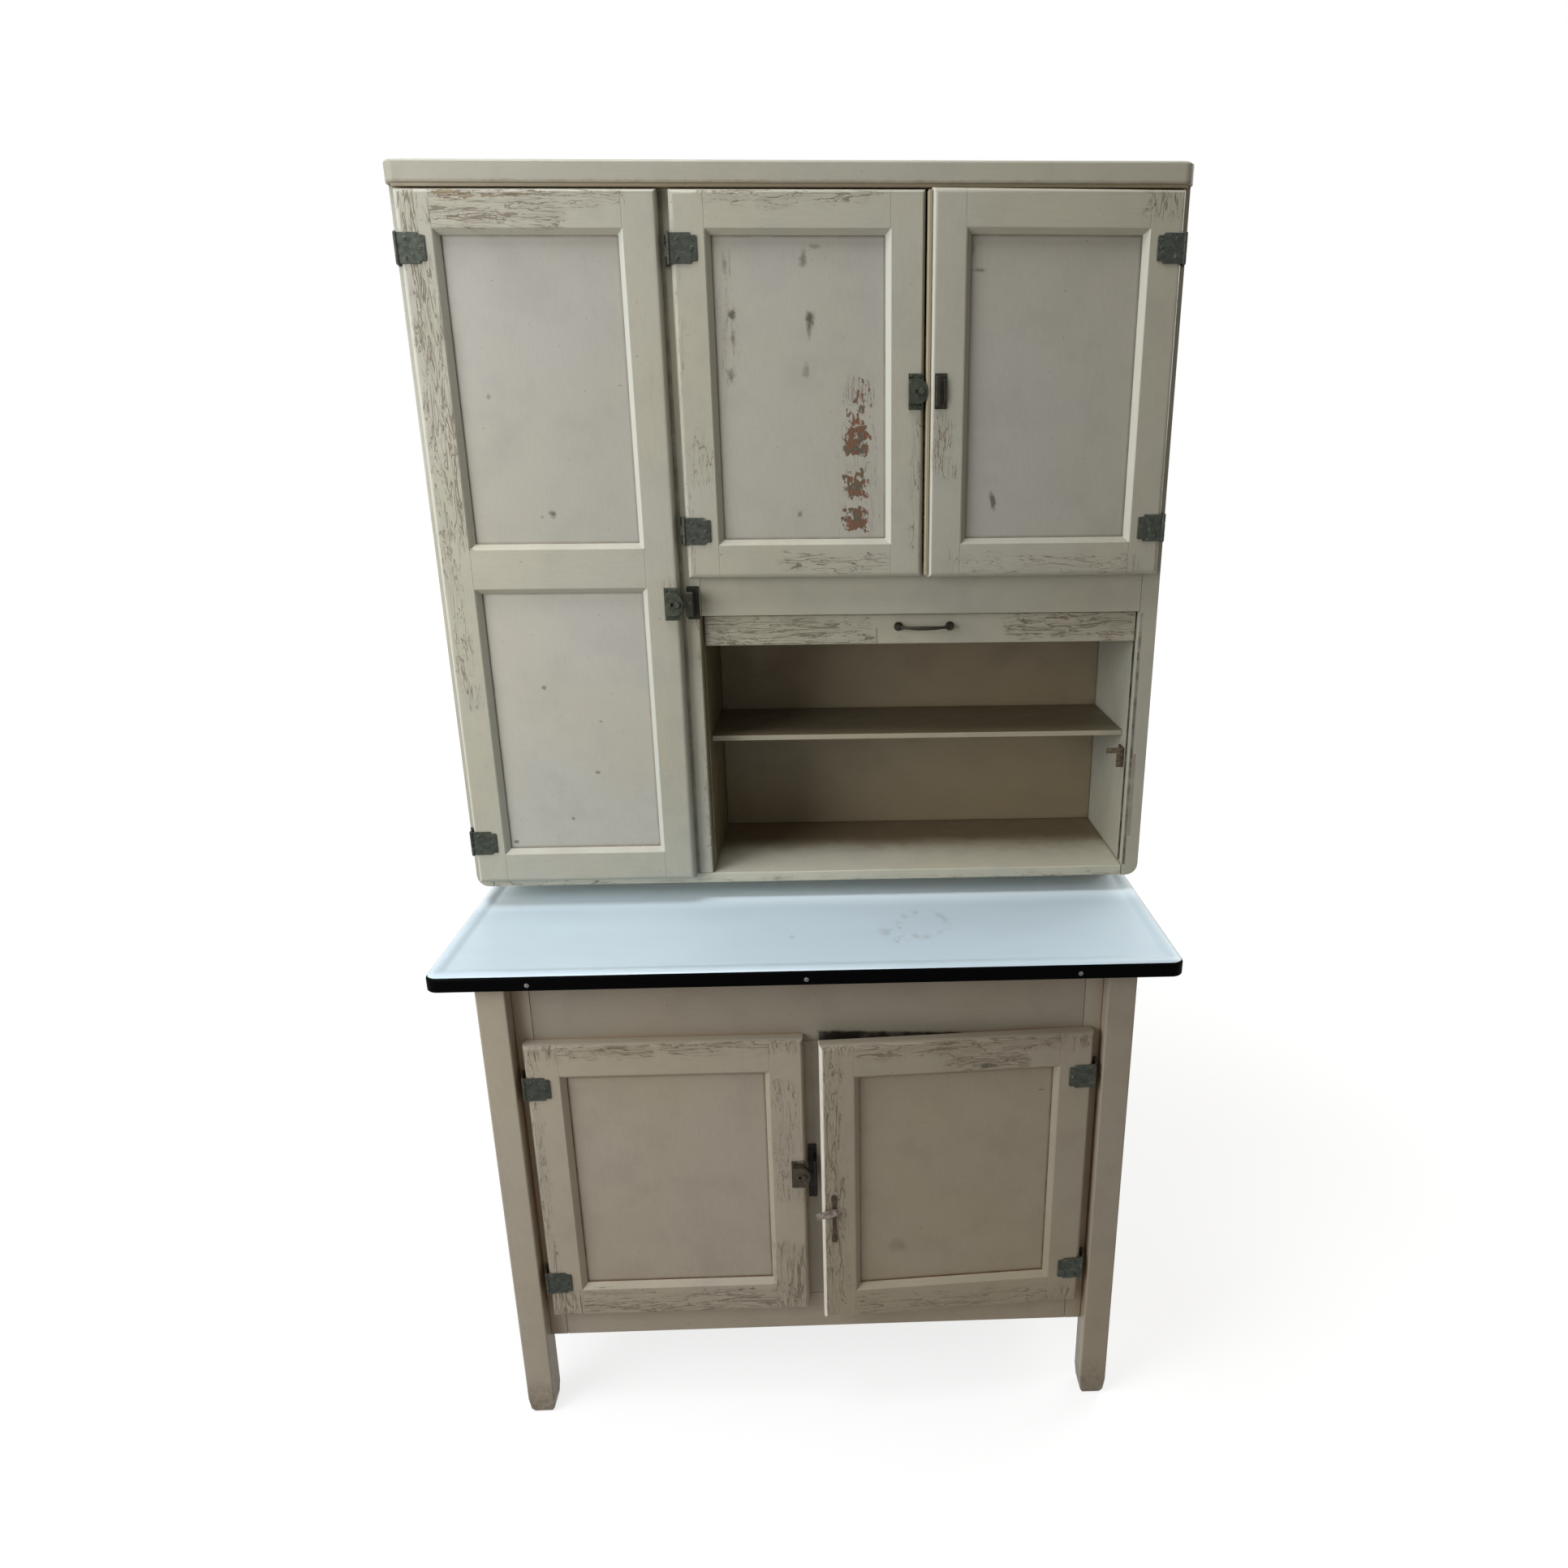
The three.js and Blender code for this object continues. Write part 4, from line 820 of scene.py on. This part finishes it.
class Shape:
    """Closed bodies gathered into one mesh."""

    def __init__(self):
        self.points = []
        self.faces = []

    def loft(self, loops):
        """A body through loops of points; every loop has the same number of points."""
        first = len(self.points)
        count = len(loops[0])
        self.points += [point for loop in loops for point in loop]
        for ring in range(len(loops) - 1):
            for i in range(count):
                a = first + ring * count + i
                b = first + ring * count + (i + 1) % count
                self.faces.append((a, b, b + count, a + count))
        last = first + (len(loops) - 1) * count
        self.faces.append(tuple(reversed(range(first, first + count))))
        self.faces.append(tuple(range(last, last + count)))

    def build(self, name, material, body, replaces=()):
        """Makes the piece, which rides on body and takes the place of the CAD nodes it replaces."""
        mesh = bpy.data.meshes.new(name)
        mesh.from_pydata(self.points, [], self.faces)
        solid = bmesh.new()
        solid.from_mesh(mesh)
        bmesh.ops.recalc_face_normals(solid, faces=solid.faces)
        solid.to_mesh(mesh)
        solid.free()
        mesh.materials.append(material)
        for face in mesh.polygons:
            face.use_smooth = True
        mesh.set_sharp_from_angle(angle=math.radians(38))
        piece = bpy.data.objects.new(name, mesh)
        SCENE.collection.objects.link(piece)
        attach(piece, body)
        if replaces:
            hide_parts(*replaces)
        return piece


class Face:
    """A flat face to build on, in millimetres: u along it, z up, and out towards the viewer."""

    def __init__(self, origin, along, out):
        self.origin, self.along, self.out = Vector(origin), Vector(along), Vector(out)

    def at(self, u, out, z):
        return self.origin + (self.along * u + self.out * out + UP * z) * MM

    def plate(self, shape, outline, low, high, soft=0.4):
        """A plate of (u, z) pairs from low to high in front of the face, with a soft front edge."""
        inner = drawn_in(outline, soft)
        shape.loft([
            [self.at(u, low, z) for u, z in outline],
            [self.at(u, high - soft, z) for u, z in outline],
            [self.at(u, high, z) for u, z in inner],
        ])

    def turned(self, shape, u, z, profile):
        """A round body on the face through (out, radius) pairs."""
        shape.loft([
            [self.at(a, out, b) for a, b in circle(u, z, size, 16)] for out, size in profile
        ])

    def upright_rod(self, shape, out, profile, sides=16):
        """A round body along the hinge axis through (height, radius) pairs."""
        shape.loft([
            [self.at(a, out + b, z) for a, b in circle(0, 0, size, sides)] for z, size in profile
        ])

    def screw(self, shape, u, z, base, radius, height, turn):
        """A domed head with a slot; turn is the slot's direction in degrees."""
        slot = 0.17 * radius
        start = math.asin(slot / radius)
        steps = 8

        def half(size, out, way):
            loop = []
            for i in range(steps + 1):
                angle = start + (math.pi - 2 * start) * i / steps
                across = size * radius * math.cos(angle)
                along = max(slot, size * radius * math.sin(angle))
                loop.append(self.at(
                    u + across * math.cos(way) - along * math.sin(way),
                    base + out * height,
                    z + across * math.sin(way) + along * math.cos(way),
                ))
            return loop

        for way in (math.radians(turn), math.radians(turn) + math.pi):
            dome = ((1, 0), (1, 0.3), (0.86, 0.72), (0.5, 1))
            shape.loft([half(size, out, way) for size, out in dome])
        bed = 0.97 * radius
        self.turned(shape, u, z, ((base, bed), (base + 0.35 * height, bed)))


def front_face(y):
    """The plane at depth y that faces the viewer, with u as x."""
    return Face((0, y, 0), (1, 0, 0), (0, -1, 0))


def middle(node):
    """The height of a node's middle, in millimetres."""
    low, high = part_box(node)
    return (low.z + high.z) / 2 / MM


def circle(u, z, radius, sides):
    angles = [2 * math.pi * i / sides for i in range(sides)]
    return [(u + radius * math.cos(a), z + radius * math.sin(a)) for a in angles]


def drawn_in(outline, amount):
    """The outline with every side moved inwards."""
    area = sum(a[0] * b[1] - b[0] * a[1] for a, b in zip(outline, outline[1:] + outline[:1]))
    hand = math.copysign(1, area)
    moved = []
    for i, (u, z) in enumerate(outline):
        before, after = outline[i - 1], outline[(i + 1) % len(outline)]
        first = Vector((u - before[0], z - before[1])).normalized()
        second = Vector((after[0] - u, after[1] - z)).normalized()
        n1, n2 = Vector((-first.y, first.x)) * hand, Vector((-second.y, second.x)) * hand
        push = (n1 + n2) / (1 + n1.dot(n2)) * amount
        moved.append((u + push.x, z + push.y))
    return moved


def rounded(u0, u1, z0, z1, radius, steps=4):
    """A rectangle with round corners as (u, z) pairs."""
    corners = [(u1, z1, 0), (u0, z1, 1), (u0, z0, 2), (u1, z0, 3)]
    points = []
    for u, z, quarter in corners:
        middle_u = u - math.copysign(radius, u - (u0 + u1) / 2)
        middle_z = z - math.copysign(radius, z - (z0 + z1) / 2)
        for i in range(steps + 1):
            angle = (quarter + i / steps) * math.pi / 2
            across, along = radius * math.cos(angle), radius * math.sin(angle)
            points.append((middle_u + across, middle_z + along))
    return points


LEAF = 1.6  # thickness of a hinge's leaf and of a plate
GAP = 0.3
AXIS_FRONT = 1  # the hinge axis lies this far in front of the door's face
DOOR_THICKNESS = 19.6  # with the gap to the case
BARREL = 2.5
BARREL_END = 18.3
KNUCKLE = 6.1
KNUCKLE_GAP = 0.35


def door_face(joint, sign):
    """A door's face, turned with a door that stands ajar, with u measured from the hinge axis."""
    x, y, _ = JOINTS[joint]["pos_m"]
    ajar = math.radians(max(0, -JOINTS[joint]["range_deg"][0]))
    turn = Matrix.Rotation(ajar, 3, "Z")
    origin = Vector((x, y, 0)) + turn @ Vector((0, AXIS_FRONT * MM, 0))
    return Face(origin, turn @ Vector((sign, 0, 0)), turn @ Vector((0, -1, 0)))


DOORS = {
    "tall_door": 1,
    "middle_door": 1,
    "right_door": -1,
    "base_left_door": 1,
    "base_right_door": -1,
}
FACES = {door: door_face(f"{door}_hinge", sign) for door, sign in DOORS.items()}


def hinge_leaf(door, which, index):
    """A leaf with three screws on the door, and the hinge's barrel."""
    node = f"{door}_hinge_{which}"
    face, z = FACES[door], middle(node)
    tall, reach, step, ear = 18, 36, 28, 15
    half = [
        (1, -tall), (step - 1, -tall), (step, 1 - tall), (step + 1, -ear), (reach - 1.5, -ear),
        (reach, 1.5 - ear),
    ]
    outline = [(u, z + h) for u, h in half] + [(u, z - h) for u, h in reversed(half)]
    shape = Shape()
    top = GAP + LEAF
    face.plate(shape, outline, GAP, top, 0.5)
    outer = KNUCKLE + KNUCKLE_GAP
    for z0, z1 in ((-BARREL_END, -outer), (-KNUCKLE, KNUCKLE), (outer, BARREL_END)):
        ends = ((0, 0.86), (0.03, 1), (0.97, 1), (1, 0.86))
        rod = [(z + z0 + (z1 - z0) * part, BARREL * size) for part, size in ends]
        face.upright_rod(shape, AXIS_FRONT, rod)
    for side in (-1, 1):
        pin = ((0, 1.9), (0.6, 1.9), (1.1, 1.1))
        pin = [(z + side * (BARREL_END + h), size) for h, size in pin]
        face.upright_rod(shape, AXIS_FRONT, pin, 12)
    for number, (u, dz) in enumerate(((11, 11), (11, -11), (30, 0))):
        face.screw(shape, u, z + dz, top - 0.2, 2.7, 1.1, 20 + 67 * number + 41 * index)
    shape.build(f"{node}_leaf", HINGE_METAL, door, (node,))


def hinge_strap(door, which):
    """The strap that stands on the case's front and reaches forward to the barrel."""
    node = f"{door}_hinge_{which}"
    x, y, _ = JOINTS[f"{door}_hinge"]["pos_m"]
    face, z = Face((x, y + AXIS_FRONT * MM, 0), (DOORS[door], 0, 0), (0, -1, 0)), middle(node)
    back = -DOOR_THICKNESS + GAP
    inner, outer, foot, thick = -1.4, -2.5, -7, 1.2
    profile = [
        (inner, AXIS_FRONT), (outer, AXIS_FRONT), (outer, back + thick), (foot, back + thick),
        (foot, back), (inner, back),
    ]
    shape = Shape()
    near = KNUCKLE + KNUCKLE_GAP
    for z0, z1 in ((-BARREL_END, -near), (near, BARREL_END)):
        shape.loft([[face.at(u, out, z + height) for u, out in profile] for height in (z0, z1)])
    shape.build(f"{node}_strap", HINGE_METAL, "cabinet")


def add_latch_screws(name, door, metal):
    """Four screws in the corners of a latch's plate."""
    face, z = FACES[door], middle(f"{name}_case")
    x, _, _ = JOINTS[f"{door}_hinge"]["pos_m"]
    edge = (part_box(f"{door}_frame")[1].x - x) / MM
    shape = Shape()
    for number, (u, dz) in enumerate(((-17.5, 19), (-17.5, -19), (-5, 19), (-5, -19))):
        face.screw(shape, edge + u, z + dz, GAP + LEAF - 0.2, 2.2, 1.0, 15 + 50 * number)
    shape.build(f"{name}_screws", metal, door)


def add_upper_strike():
    """The box on the right door that the middle door's latch shuts into."""
    face, z = FACES["right_door"], middle("upper_latch_case")
    hinge_x, _, _ = JOINTS["middle_door_hinge"]["pos_m"]
    u = (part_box("middle_door_frame")[1].x - hinge_x) / MM - 5.5
    shape = Shape()
    face.plate(shape, rounded(u - 16, u, z - 22, z + 22, 1.2), GAP, GAP + 1.5)
    face.plate(shape, rounded(u - 7, u - 0.8, z - 19, z + 19, 1.2), GAP + 1.4, 7.5, 1.2)
    face.plate(shape, rounded(u - 16, u - 11, z - 14, z + 14, 1.2), GAP + 1.4, 4.5, 1.0)
    for dz in (-18.5, 18.5):
        face.screw(shape, u - 13.2, z + dz, GAP + 1.3, 2.0, 0.9, 40 + dz)
    shape.build("upper_latch_strike", DARK_METAL, "right_door")


def add_tall_strike():
    """The keeper on the partition for the tall door's latch."""
    face, z = front_face(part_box("hutch_partition")[0].y), middle("tall_latch_case")
    shape = Shape()
    face.plate(shape, rounded(-164, -147, z - 24, z + 22, 1.5), GAP, GAP + LEAF)
    face.plate(shape, rounded(-163.6, -153, z - 18, z + 16, 1.2), GAP + 1.5, 24, 1.0)
    for dz in (-18.5, 18.5):
        face.screw(shape, -154, z + dz, GAP + 1.4, 2.2, 1.0, 25 + dz)
    shape.build("tall_latch_strike", DARK_METAL, "cabinet")


def add_base_strike():
    """The long black plate on the base's centre stile for the left door's latch."""
    face, z = front_face(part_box("base_centre_stile")[0].y), middle("base_latch_case")
    shape = Shape()
    face.plate(shape, rounded(-8.4, 3.6, z - 54, z + 37, 1.5), GAP, GAP + LEAF)
    face.plate(shape, rounded(-0.4, 3.4, z - 20, z + 20, 1.0), GAP + 1.5, 20, 0.8)
    for dz in (-46, 30):
        face.screw(shape, -2.4, z + dz, GAP + 1.4, 2.2, 1.0, 60 + dz)
    shape.build("base_latch_strike", BLACK_METAL, "cabinet")


def add_handle():
    """A slim turned bar with a collar at each end, on two round feet."""
    low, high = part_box("curtain_handle")
    foot, thick, rise = 6.4, 3.0, 6.5
    centre = (low.x + high.x) / 2 / MM
    half = (high.x - low.x) / 2 / MM - foot
    z = middle("curtain_handle")
    rail = front_face(high.y)
    bow = (high.y - low.y) / MM - thick - rise
    shape = Shape()
    for side in (-1, 1):
        u = centre + side * half
        profile = ((0, foot), (1.6, foot), (2.6, foot - 1.2), (3.4, 4.4), (7.5, 3.9), (9.5, 3.2))
        rail.turned(shape, u, z, profile)
        rail.screw(shape, u, z, 9.3, 2.0, 0.9, 30 + 60 * side)
    count = 30
    loops = []
    for i in range(count + 1):
        share = 2 * i / count - 1
        out = rise + bow * (1 - abs(share) ** 2.6)
        slope = -2.6 * bow * abs(share) ** 1.6 * math.copysign(1, share) / half
        waist = thick * (0.62 + 0.38 * math.cos(math.pi * share / 2) ** 2)
        if 0.80 < abs(share) < 0.88:
            waist = thick * 1.08
        across = Vector((-slope, 1)).normalized() * waist
        loops.append([
            rail.at(centre + half * share + a * across.x, out + a * across.y, z + b * waist)
            for a, b in circle(0, 0, 1, 12)
        ])
    shape.loft(loops)
    shape.build("curtain_pull", HANDLE_METAL, "curtain", ("curtain_handle",))


def add_lever_plate():
    """A narrow plate with round ends under the lever, with two screws."""
    face = FACES["base_right_door"]
    low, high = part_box("base_lever_plate")
    pivot = JOINTS["base_lever_turn"]["pos_m"]
    axis = JOINTS["base_right_door_hinge"]["pos_m"]
    u = (Vector(pivot) - Vector(axis)).dot(face.along) / MM
    bottom, top = low.z / MM, high.z / MM
    waist, end, slope = 2.8, 4.2, 5
    half = [
        (2 - end, bottom), (-end, bottom + 3), (-end, bottom + 16 - slope), (-waist, bottom + 16),
        (-waist, top - 14), (-end, top - 14 + slope), (-end, top - 3), (2 - end, top),
    ]
    outline = [(u + du, z) for du, z in half] + [(u - du, z) for du, z in reversed(half)]
    shape = Shape()
    face.plate(shape, outline, GAP, GAP + LEAF, 0.4)
    for z, turn in ((top - 6, 30), (bottom + 7, 75)):
        face.screw(shape, u, z, GAP + LEAF - 0.2, 2.4, 1.1, turn)
    plate = ("base_lever_plate",)
    shape.build("lever_plate", PLATE_METAL, "base_right_door", plate)


def add_catch_screws():
    """Two screws in the curtain catch's arm and stem."""
    low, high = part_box("curtain_catch")
    front = front_face(low.y)
    shape = Shape()
    right, top = high.x / MM, high.z / MM
    front.screw(shape, right - 20, top - 4, -0.2, 2.0, 0.8, 20)
    front.screw(shape, right - 5.5, top - 24, -0.2, 2.0, 0.8, 70)
    shape.build("curtain_catch_screws", CATCH_METAL, "cabinet")


def add_crown_bead():
    """A thin bead under the crown board, over the doors; its brown paint is painted shade with
    grime in the space under the crown.
    """
    low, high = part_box("hutch_crown")
    doors_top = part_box("middle_door_frame")[1].z / MM
    under, front = low.z / MM, low.y / MM
    side = high.x / MM - 8
    bead = rounded(-side, side, front + 3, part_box("hutch_side_left")[0].y / MM + 6, 4)
    steps = (doors_top + 2, 1.2), (doors_top + 2.4, 0.3), (under - 0.6, 0), (under - 0.1, 0)
    shape = Shape()
    shape.loft([
        [Vector((x, y, z)) * MM for x, y in drawn_in(bead, inset)]
        for z, inset in steps
    ])
    shape.build("crown_bead", CROWN_BEAD_SHADE, "cabinet")


def add_meeting_bead():
    """A bead on the right door's free edge that narrows the gap to the middle door."""
    face = FACES["right_door"]
    low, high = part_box("right_door_frame")
    axis = JOINTS["right_door_hinge"]["pos_m"]
    bottom, top = low.z / MM + 3, high.z / MM - 3
    frame_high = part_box("middle_door_frame")[1]
    width = (axis[0] - frame_high.x) / MM - 2.4
    inner = (axis[0] - low.x) / MM - 0.4
    section = [(inner, -3.2), (inner, -17), (width, -17), (width, -4.2), (width - 1, -3.2)]
    shape = Shape()
    shape.loft([[face.at(u, out, z) for u, out in section] for z in (bottom, top)])
    shape.build("meeting_bead", BEAD_PAINT, "right_door")


RIM_INSET = 0.7  # leaves room for the screws inside the sheet's own box
SEAM = 2.5  # the black rim ends this far below the ridge
SCREW_PLACES = (-372, -3, 365)
PAN_DROP = 2.5
SEAT_DEPTH = 0.5


def worktop_loops(half_x, half_y, ridge, rim, board_top):
    """The sheet from its hem under the board, round the rim and the ridge, down to the pan."""
    corner, border, crest, drop, sheet, steps = 18, 26, 13, 7, 2, 8

    def loop(inset, z):
        radius = max(corner - inset, GAP)
        side, front = half_x - inset, half_y - inset
        edges = rounded(-side, side, -front, front, radius, steps)
        return [Vector((x, y, z)) * MM for x, y in edges]

    hollow = RIM_INSET + sheet - 0.7
    loops = [
        loop(7, board_top + GAP - 0.05),
        loop(hollow, ridge - drop - sheet),
        loop(hollow, rim + 0.5),
        loop(hollow - 0.4, rim),
        loop(RIM_INSET + 0.8, rim),
        loop(RIM_INSET, rim + 0.9),
    ]
    turns = 10
    for i in range(turns + 1):
        angle = i / turns * math.pi / 2
        height = ridge - drop * (1 - math.sin(angle))
        loops.append(loop(RIM_INSET + (crest - RIM_INSET) * (1 - math.cos(angle)), height))
    falls = 6
    for i in range(1, falls + 1):
        part = i / falls
        fall = PAN_DROP * (1 - math.cos(part * math.pi)) / 2
        loops.append(loop(crest + (border - crest) * part, ridge - fall))
    return loops


def add_pan(shape, count, pan):
    """The pan inside the last loop, with a shallow seat at its back for the hutch's plinth."""
    low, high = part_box("hutch_plinth")
    side, front, back = high.x + 1.2 * MM, low.y - 2 * MM, high.y + 1.2 * MM
    corners = ((-side, front), (side, front), (side, back), (-side, back))
    seat = [Vector((x, y, pan * MM)) for x, y in corners]
    first = len(shape.points)
    outer = list(range(first - count, first))
    inner = list(range(first, first + 4))
    ring = [shape.points[i] for i in outer]
    shape.points += seat + [point - UP * (SEAT_DEPTH * MM) for point in seat]
    index = outer + inner
    triangles = tessellate_polygon([ring, seat])
    shape.faces += [tuple(index[i] for i in triangle) for triangle in triangles]
    for a, b in zip(inner, inner[1:] + inner[:1]):
        shape.faces.append((a, b, b + 4, a + 4))
    shape.faces.append(tuple(i + 4 for i in inner))


def add_worktop():
    """The enamelled sheet: a black rolled rim with three screws, a raised border and a pan."""
    low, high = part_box("worktop_enamel")
    half_x, half_y, ridge, rim = high.x / MM, high.y / MM, high.z / MM, low.z / MM
    loops = worktop_loops(half_x, half_y, ridge, rim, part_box("worktop_board")[1].z / MM)
    seam = (ridge - SEAM) * MM
    count = len(loops[0])
    shape = Shape()
    shape.loft(loops)
    shape.faces.pop()
    add_pan(shape, count, ridge - PAN_DROP)
    top = shape.build("worktop_top", WHITE_ENAMEL, "cabinet", ("worktop_enamel",))
    top.data.materials.append(BLACK_ENAMEL)
    white_from = next(i for i, loop in enumerate(loops) if loop[0].z > seam) * count
    for face in top.data.polygons:
        if all(vertex < white_from for vertex in face.vertices) or face.center.z < seam:
            face.material_index = 1

    front = front_face(-(half_y - RIM_INSET) * MM)
    screws = Shape()
    for number, x in enumerate(SCREW_PLACES):
        front.screw(screws, x, rim + 8, -0.15, 3.2, RIM_INSET, 10 + 55 * number)
    screws.build("worktop_screws", STEEL, "cabinet")


def add_floor():
    """A pale floor that keeps the object's shadow and turns white further out."""
    bpy.ops.mesh.primitive_plane_add(size=40)
    floor = bpy.context.object
    floor.name = "floor"
    g = material_graph("stage_floor")
    x, y, _ = g.parts(g.place())
    shade = g.shader("ShaderNodeBsdfDiffuse", Color=(0.8, 0.8, 0.8, 1))
    bounce = g.shader("ShaderNodeBsdfDiffuse", Color=(0.50, 0.44, 0.38, 1))
    glow = g.shader("ShaderNodeEmission", Strength=1.12)
    shown = g.mix(g.ramp(g.length(x, y), 0.7, 2.6, 0.72, 0.95), shade, glow)
    floor.data.materials.append(g.end(g.mix(g.seen(), bounce, shown)))


def add_world():
    """A weak warm light on the object, and white to the camera."""
    g = Graph(bpy.data.worlds.new("world"))
    light = g.shader("ShaderNodeBackground", Color=(1.0, 0.93, 0.82, 1), Strength=0.18)
    white = g.shader("ShaderNodeBackground", Color=(1, 1, 1, 1))
    SCENE.world = g.end(g.mix(g.seen(), light, white), "ShaderNodeOutputWorld")


LAMPS = {  # target, turn, rise, distance, size, power, colour
    "key": ((0, 0, 0.75), 53, 21, 1.9, 1.3, 28, (0.96, 0.98, 1.0)),
    "sky": ((0, 0, 1.6), 49, 68, 1.9, 1.3, 50, (0.96, 0.98, 1.0)),
    "fill": ((0, 0, 0.9), -125, 28, 3.4, 2.4, 60, (1.0, 0.98, 0.95)),
}

HINGE_METAL = old_metal("metal_hinge", (60, 65, 56), (104, 108, 96), 0.45)
LATCH_METAL = old_metal("metal_latch", (60, 64, 50), (110, 114, 96), 0.35)
DARK_METAL = old_metal("metal_dark", (36, 35, 25), (84, 82, 66), 0.15)
BLACK_METAL = old_metal("metal_black", (20, 18, 13), (50, 46, 38), 0.0)
BASE_METAL = old_metal("metal_base", (64, 56, 44), (118, 110, 98), 0.6)
HANDLE_METAL = old_metal("metal_handle", (44, 35, 25), (92, 80, 64), 0.0)
CATCH_METAL = old_metal("metal_catch", (98, 84, 68), (140, 126, 108), 0.3)
PLATE_METAL = old_metal("metal_plate", (70, 57, 42), (108, 94, 76), 0.6)
WORN_METAL = old_metal("metal_worn", (150, 138, 128), (186, 176, 166), 0.2)
STEEL = old_metal("metal_screw", (120, 122, 120), (170, 170, 165), 0.0)
# Painted shade with grime: the crown bead's brown stands for the shade under the crown.
CROWN_BEAD_SHADE = paint("paint_crown_bead_shade", (140, 128, 106), "x", age=0.2, crease_dirt_and_shade=0.3)
BEAD_PAINT = paint("paint_bead", (150, 140, 116), "z", age=0.2, crease_dirt_and_shade=0.0)
WHITE_ENAMEL = white_enamel("enamel_white", [
    (0.165, -0.135, 0.034, 0.010), (0.110, -0.165, 0.004, 0.018), (0.130, -0.185, 0.006, 0.012),
    (-0.025, -0.170, 0.0, 0.008),
])
BLACK_ENAMEL = black_enamel("enamel_black")
LATCHES = {
    "tall_latch": ("tall_door", LATCH_METAL),
    "upper_latch": ("middle_door", LATCH_METAL),
    "base_latch": ("base_left_door", BASE_METAL),
}

add_camera()
add_floor()
add_world()
for name, lamp in LAMPS.items():
    add_lamp(name, *lamp)
SCENE.view_settings.view_transform = "Standard"

dress_base()
dress_hutch()
dress_tall_door()
dress_middle_door()
dress_right_door()
dress_base_doors()
dress_curtain()
dress_metal()
add_worktop()
index = 0
for door in DOORS:
    for which in ("upper", "lower"):
        hinge_leaf(door, which, index)
        hinge_strap(door, which)
        index += 1
for name, (door, metal) in LATCHES.items():
    add_latch_screws(name, door, metal)
add_upper_strike()
add_tall_strike()
add_base_strike()
add_handle()
add_crown_bead()
add_meeting_bead()
add_lever_plate()
add_catch_screws()
